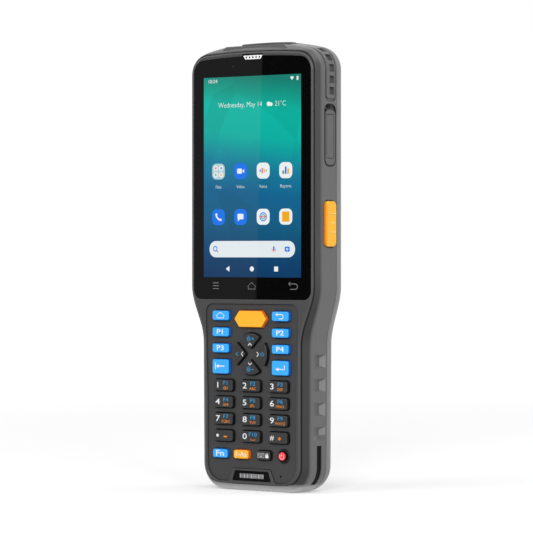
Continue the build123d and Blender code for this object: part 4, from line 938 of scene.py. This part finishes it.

# -------------------------------- side scan keys
# The scan keys on both sides are moulded in the orange of the scan key in the keypad, and
# snap into the frame over their switches. Their ribs' tips carry a painted highlight, and their front edge a
# painted shade.
trigger_orange = moulded_plastic(
    "trigger_orange", (255, 184, 38), 0.34, relief=0.05, edge=0.4 * mm, shine=0.4
)
trigger_low, trigger_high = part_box("right_trigger")
# the ribs' tips lighter: painted highlight
rib_highlight = ("X", trigger_high.x - 0.15 * mm, trigger_high.x - 0.05 * mm, (255, 226, 130))
# the front edge darker orange: painted shade
front_edge_shade = ("Y", trigger_low.y + 1.0 * mm, trigger_low.y + 0.2 * mm, (236, 140, 22))
paint_lighting_along(trigger_orange, *rib_highlight)
paint_lighting_along(trigger_orange, *front_edge_shade)
finish_node("right_trigger", trigger_orange)
finish_node("left_trigger", trigger_orange)

# -------------------------------- port cover
# A rubber plug the colour of the frame, held by its lower end. Its sides and the rim of its face are
# painted black, and a black band lies round it in the side wall with a black block in the finger gap at its
# top: painted shade for the dark gap round the cover.
port_low, port_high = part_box("port_cover")
port_y = (port_low.y + port_high.y) / 2
port_half = (port_high.y - port_low.y) / 2
port_corner = 2.8 * mm
rim_shade_width = 0.45 * mm
cover_shade_black = (12, 12, 12)
cover_rubber = moulded_plastic("cover_rubber", (92, 92, 93), 0.42, edge=0.3 * mm)
# the cover's sides painted black: painted shade of the gap
cover_side_shade = ("X", port_high.x - 0.06 * mm, port_high.x - 0.14 * mm, cover_shade_black)
paint_lighting_along(cover_rubber, *cover_side_shade)
# distance outside the rounded corners' middles, measured on the cover's face
tree = cover_rubber.node_tree
reached = tree.nodes.new("ShaderNodeTexCoord").outputs["Object"]
for operation, vector in (
    ("SUBTRACT", (0, port_y, (port_low.z + port_high.z) / 2)),
    ("MULTIPLY", (0, 1, 1)),
    ("ABSOLUTE", (0, 0, 0)),
    ("SUBTRACT", (0, port_half - port_corner, (port_high.z - port_low.z) / 2 - port_corner)),
    ("MAXIMUM", (0, 0, 0)),
):
    step = tree.nodes.new("ShaderNodeVectorMath")
    step.operation = operation
    step.inputs[1].default_value = vector
    tree.links.new(reached, step.inputs[0])
    reached = step.outputs["Vector"]
length = tree.nodes.new("ShaderNodeVectorMath")
length.operation = "LENGTH"
tree.links.new(reached, length.inputs[0])
# a black rim on the face: painted shade of the gap round the cover
on_rim_shade = calculate(tree, "GREATER_THAN", length.outputs["Value"], port_corner - rim_shade_width)
paint_over(cover_rubber, on_rim_shade, cover_shade_black)
finish_node("port_cover", cover_rubber)
# a black band in the side wall round the cover: painted shade for the dark gap
gap_shade_width = 0.35 * mm
gap_shade_play = 0.05 * mm
gap_shade_depth = 0.6 * mm
gap_shade_proud = 0.03 * mm
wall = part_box("main_frame")[1].x
gap_top = port_high.z + 1.9 * mm
# the finger gap's black floor, a block of painted shade: thickness and height, and its middle in from the
# wall and top
finger_gap_shade_size = (0.4 * mm, 2 * (port_half - port_corner), 1.5 * mm)
finger_gap_shade_at = (wall - 0.9 * mm, port_y, gap_top - 0.85 * mm)


def gap_shade_loop(bm, grow, x):
    """Rounded outline of the black band of painted shade round the port cover and its finger gap, on the side
    wall.
    """
    corners = (
        (port_half - port_corner, gap_top - port_corner, 0),
        (port_corner - port_half, gap_top - port_corner, 90),
        (port_corner - port_half, port_low.z + port_corner, 180),
        (port_half - port_corner, port_low.z + port_corner, 270),
    )
    loop = []
    reach = port_corner + grow
    for middle_y, middle_z, first in corners:
        for step in range(7):
            angle = radians(first + 15 * step)
            y = port_y + middle_y + reach * cos(angle)
            loop.append(bm.verts.new((x, y, middle_z + reach * sin(angle))))
    return loop


bm = bmesh.new()
loops = [
    gap_shade_loop(bm, gap_shade_play, wall - gap_shade_depth), gap_shade_loop(bm, gap_shade_play, wall + gap_shade_proud),
    gap_shade_loop(bm, gap_shade_width, wall + gap_shade_proud), gap_shade_loop(bm, gap_shade_width, wall - gap_shade_depth),
]
for inner, outer in zip(loops, loops[1:] + loops[:1]):
    for step in range(len(inner)):
        following = (step + 1) % len(inner)
        bm.faces.new((inner[step], inner[following], outer[following], outer[step]))
finger_gap_shade = bmesh.ops.create_cube(bm, size=1.0)["verts"]
bmesh.ops.scale(bm, verts=finger_gap_shade, vec=finger_gap_shade_size)
bmesh.ops.translate(bm, verts=finger_gap_shade, vec=finger_gap_shade_at)
bmesh.ops.recalc_face_normals(bm, faces=bm.faces[:])
gap_shade_mesh = bpy.data.meshes.new("port_gap_shade")
bm.to_mesh(gap_shade_mesh)
bm.free()
gap_shade_black = moulded_plastic("gap_shade_black", (14, 14, 14), 0.6, relief=0.05, shine=0.2)
gap_shade_mesh.materials.append(gap_shade_black)
gap_shade = bpy.data.objects.new("port_gap_shade", gap_shade_mesh)
bpy.context.scene.collection.objects.link(gap_shade)
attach(gap_shade, "casing")

# -------------------------------- foot strips
# Two strips of soft black rubber, pressed into grooves round the corners of the foot, where
# the terminal stands and where it would land if it fell.
strip_rubber = moulded_plastic("strip_rubber", (5, 5, 6), 0.55, relief=0.05, shine=0.1)
finish_node("corner_strips", strip_rubber)

# -------------------------------- battery cover and pack
# The cover hooks in at the foot, and a latch at its top slides down to free it. It has
# slanting grip ribs, moulded a tenth of a millimetre high. The pack lies behind it.
rib_pitch = 2.6 * mm
rib_height = 0.1 * mm
rib_lean = radians(35)
waves_per_unit = 0.314
cover_plastic = moulded_plastic("battery_cover_plastic", (112, 112, 113), 0.4)
tree = cover_plastic.node_tree
soften = tree.nodes["Bevel"]
grain = tree.nodes["Bump"]
place = tree.nodes.new("ShaderNodeTexCoord")
lean = tree.nodes.new("ShaderNodeMapping")
lean.inputs["Rotation"].default_value = (0, rib_lean, 0)
ribs = tree.nodes.new("ShaderNodeTexWave")
ribs.inputs["Scale"].default_value = waves_per_unit / rib_pitch
rib_relief = tree.nodes.new("ShaderNodeBump")
rib_relief.inputs["Strength"].default_value = 0.6
rib_relief.inputs["Distance"].default_value = rib_height
tree.links.new(place.outputs["Object"], lean.inputs["Vector"])
tree.links.new(lean.outputs["Vector"], ribs.inputs["Vector"])
tree.links.new(ribs.outputs["Fac"], rib_relief.inputs["Height"])
tree.links.new(soften.outputs["Normal"], rib_relief.inputs["Normal"])
tree.links.new(rib_relief.outputs["Normal"], grain.inputs["Normal"])
finish_node("battery_cover", cover_plastic)
finish_node("battery_latch", moulded_plastic("latch_plastic", (54, 54, 56), 0.4))
finish_node("battery_pack", moulded_plastic("battery_plastic", (30, 30, 32), 0.5))

# -------------------------------- rear camera's window
# A pane of black glass over the camera and its flash, glued into the rear housing. A ring is
# printed on its back round the lens and round the flash.
camera_low, camera_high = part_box("rear_camera")
camera_middle = ((camera_low.x + camera_high.x) / 2, (camera_low.z + camera_high.z) / 2)
flash_across = 14.0 * mm
flash_middle = (camera_middle[0] + flash_across, camera_middle[1])
window_glass = plain_finish("camera_glass", glass_colour, glass_polish)
tree = window_glass.node_tree
shader = tree.nodes["Principled BSDF"]
place = tree.nodes.new("ShaderNodeTexCoord")
flat = tree.nodes.new("ShaderNodeVectorMath")
flat.operation = "MULTIPLY"
flat.inputs[1].default_value = (1, 0, 1)
tree.links.new(place.outputs["Object"], flat.inputs[0])
# middle, then each printed ring as outer radius in mm and colour, from the middle outwards
camera_rings = (
    (0.7, (2, 2, 4)), (1.7, (16, 20, 44)), (2.1, (3, 3, 5)), (3.0, (22, 22, 24)), (3.5, (168, 168, 172)),
)
flash_rings = ((0.9, (250, 244, 214)), (1.7, (226, 216, 180)), (2.0, (120, 120, 122)))
paint = None
for (middle_x, middle_z), rings in ((camera_middle, camera_rings), (flash_middle, flash_rings)):
    apart = tree.nodes.new("ShaderNodeVectorMath")
    apart.operation = "DISTANCE"
    apart.inputs[1].default_value = (middle_x, 0, middle_z)
    tree.links.new(flat.outputs[0], apart.inputs[0])
    for radius, colour in reversed(rings):
        ring = tree.nodes.new("ShaderNodeMix")
        ring.data_type = "RGBA"
        ring.inputs["A"].default_value = screen_colour(glass_colour)
        ring.inputs["B"].default_value = screen_colour(colour)
        inside = calculate(tree, "LESS_THAN", apart.outputs["Value"], radius * mm)
        tree.links.new(inside, ring.inputs["Factor"])
        if paint:
            tree.links.new(paint, ring.inputs["A"])
        paint = ring.outputs["Result"]
tree.links.new(paint, shader.inputs["Base Color"])
finish_node("rear_camera_window", window_glass)


# -------------------------------- screws, connector, contacts
# Rolled and plated metal: six steel screws in the back, the steel shell of the USB
# connector, the aluminium chassis plate and four gold-plated contacts in the foot.
def bare_metal(name, colour, roughness):
    """Plated or rolled metal with fine streaks."""
    gloss_spread = 0.08
    material = plain_finish(name, colour, roughness)
    tree = material.node_tree
    shader = tree.nodes["Principled BSDF"]
    shader.inputs["Metallic"].default_value = 1.0
    place = tree.nodes.new("ShaderNodeTexCoord")
    streaks = tree.nodes.new("ShaderNodeTexNoise")
    streaks.inputs["Scale"].default_value = 2500.0
    tree.links.new(place.outputs["Object"], streaks.inputs["Vector"])
    low, high = roughness - gloss_spread, roughness + gloss_spread
    tree.links.new(between(tree, streaks.outputs["Fac"], 0.0, 1.0, low, high), shader.inputs["Roughness"])
    return material


steel = bare_metal("steel", (190, 190, 194), 0.3)
finish_node("housing_screws", steel)
finish_node("usb_connector", steel)
finish_node("chassis_plate", bare_metal("chassis_metal", (180, 180, 184), 0.4))
finish_node("charging_contacts", bare_metal("contact_gold", (226, 190, 110), 0.25))

# -------------------------------- boards and modules
# What the closed casing hides: green circuit boards, the display's dark back, and the black
# modules, which are plugged or glued to the boards and the chassis plate.
board_green = moulded_plastic("board_green", (22, 84, 50), 0.4, relief=0.05)
finish_node("main_board", board_green)
finish_node("keypad_board", board_green)
finish_node("lcd_module", moulded_plastic("display_back", (28, 30, 34), 0.35, relief=0.02))
black_part = moulded_plastic("black_part", (24, 24, 25), 0.45)
for name in ("earpiece_receiver", "scan_engine", "loudspeaker", "rear_camera", "trigger_switches"):
    finish_node(name, black_part)
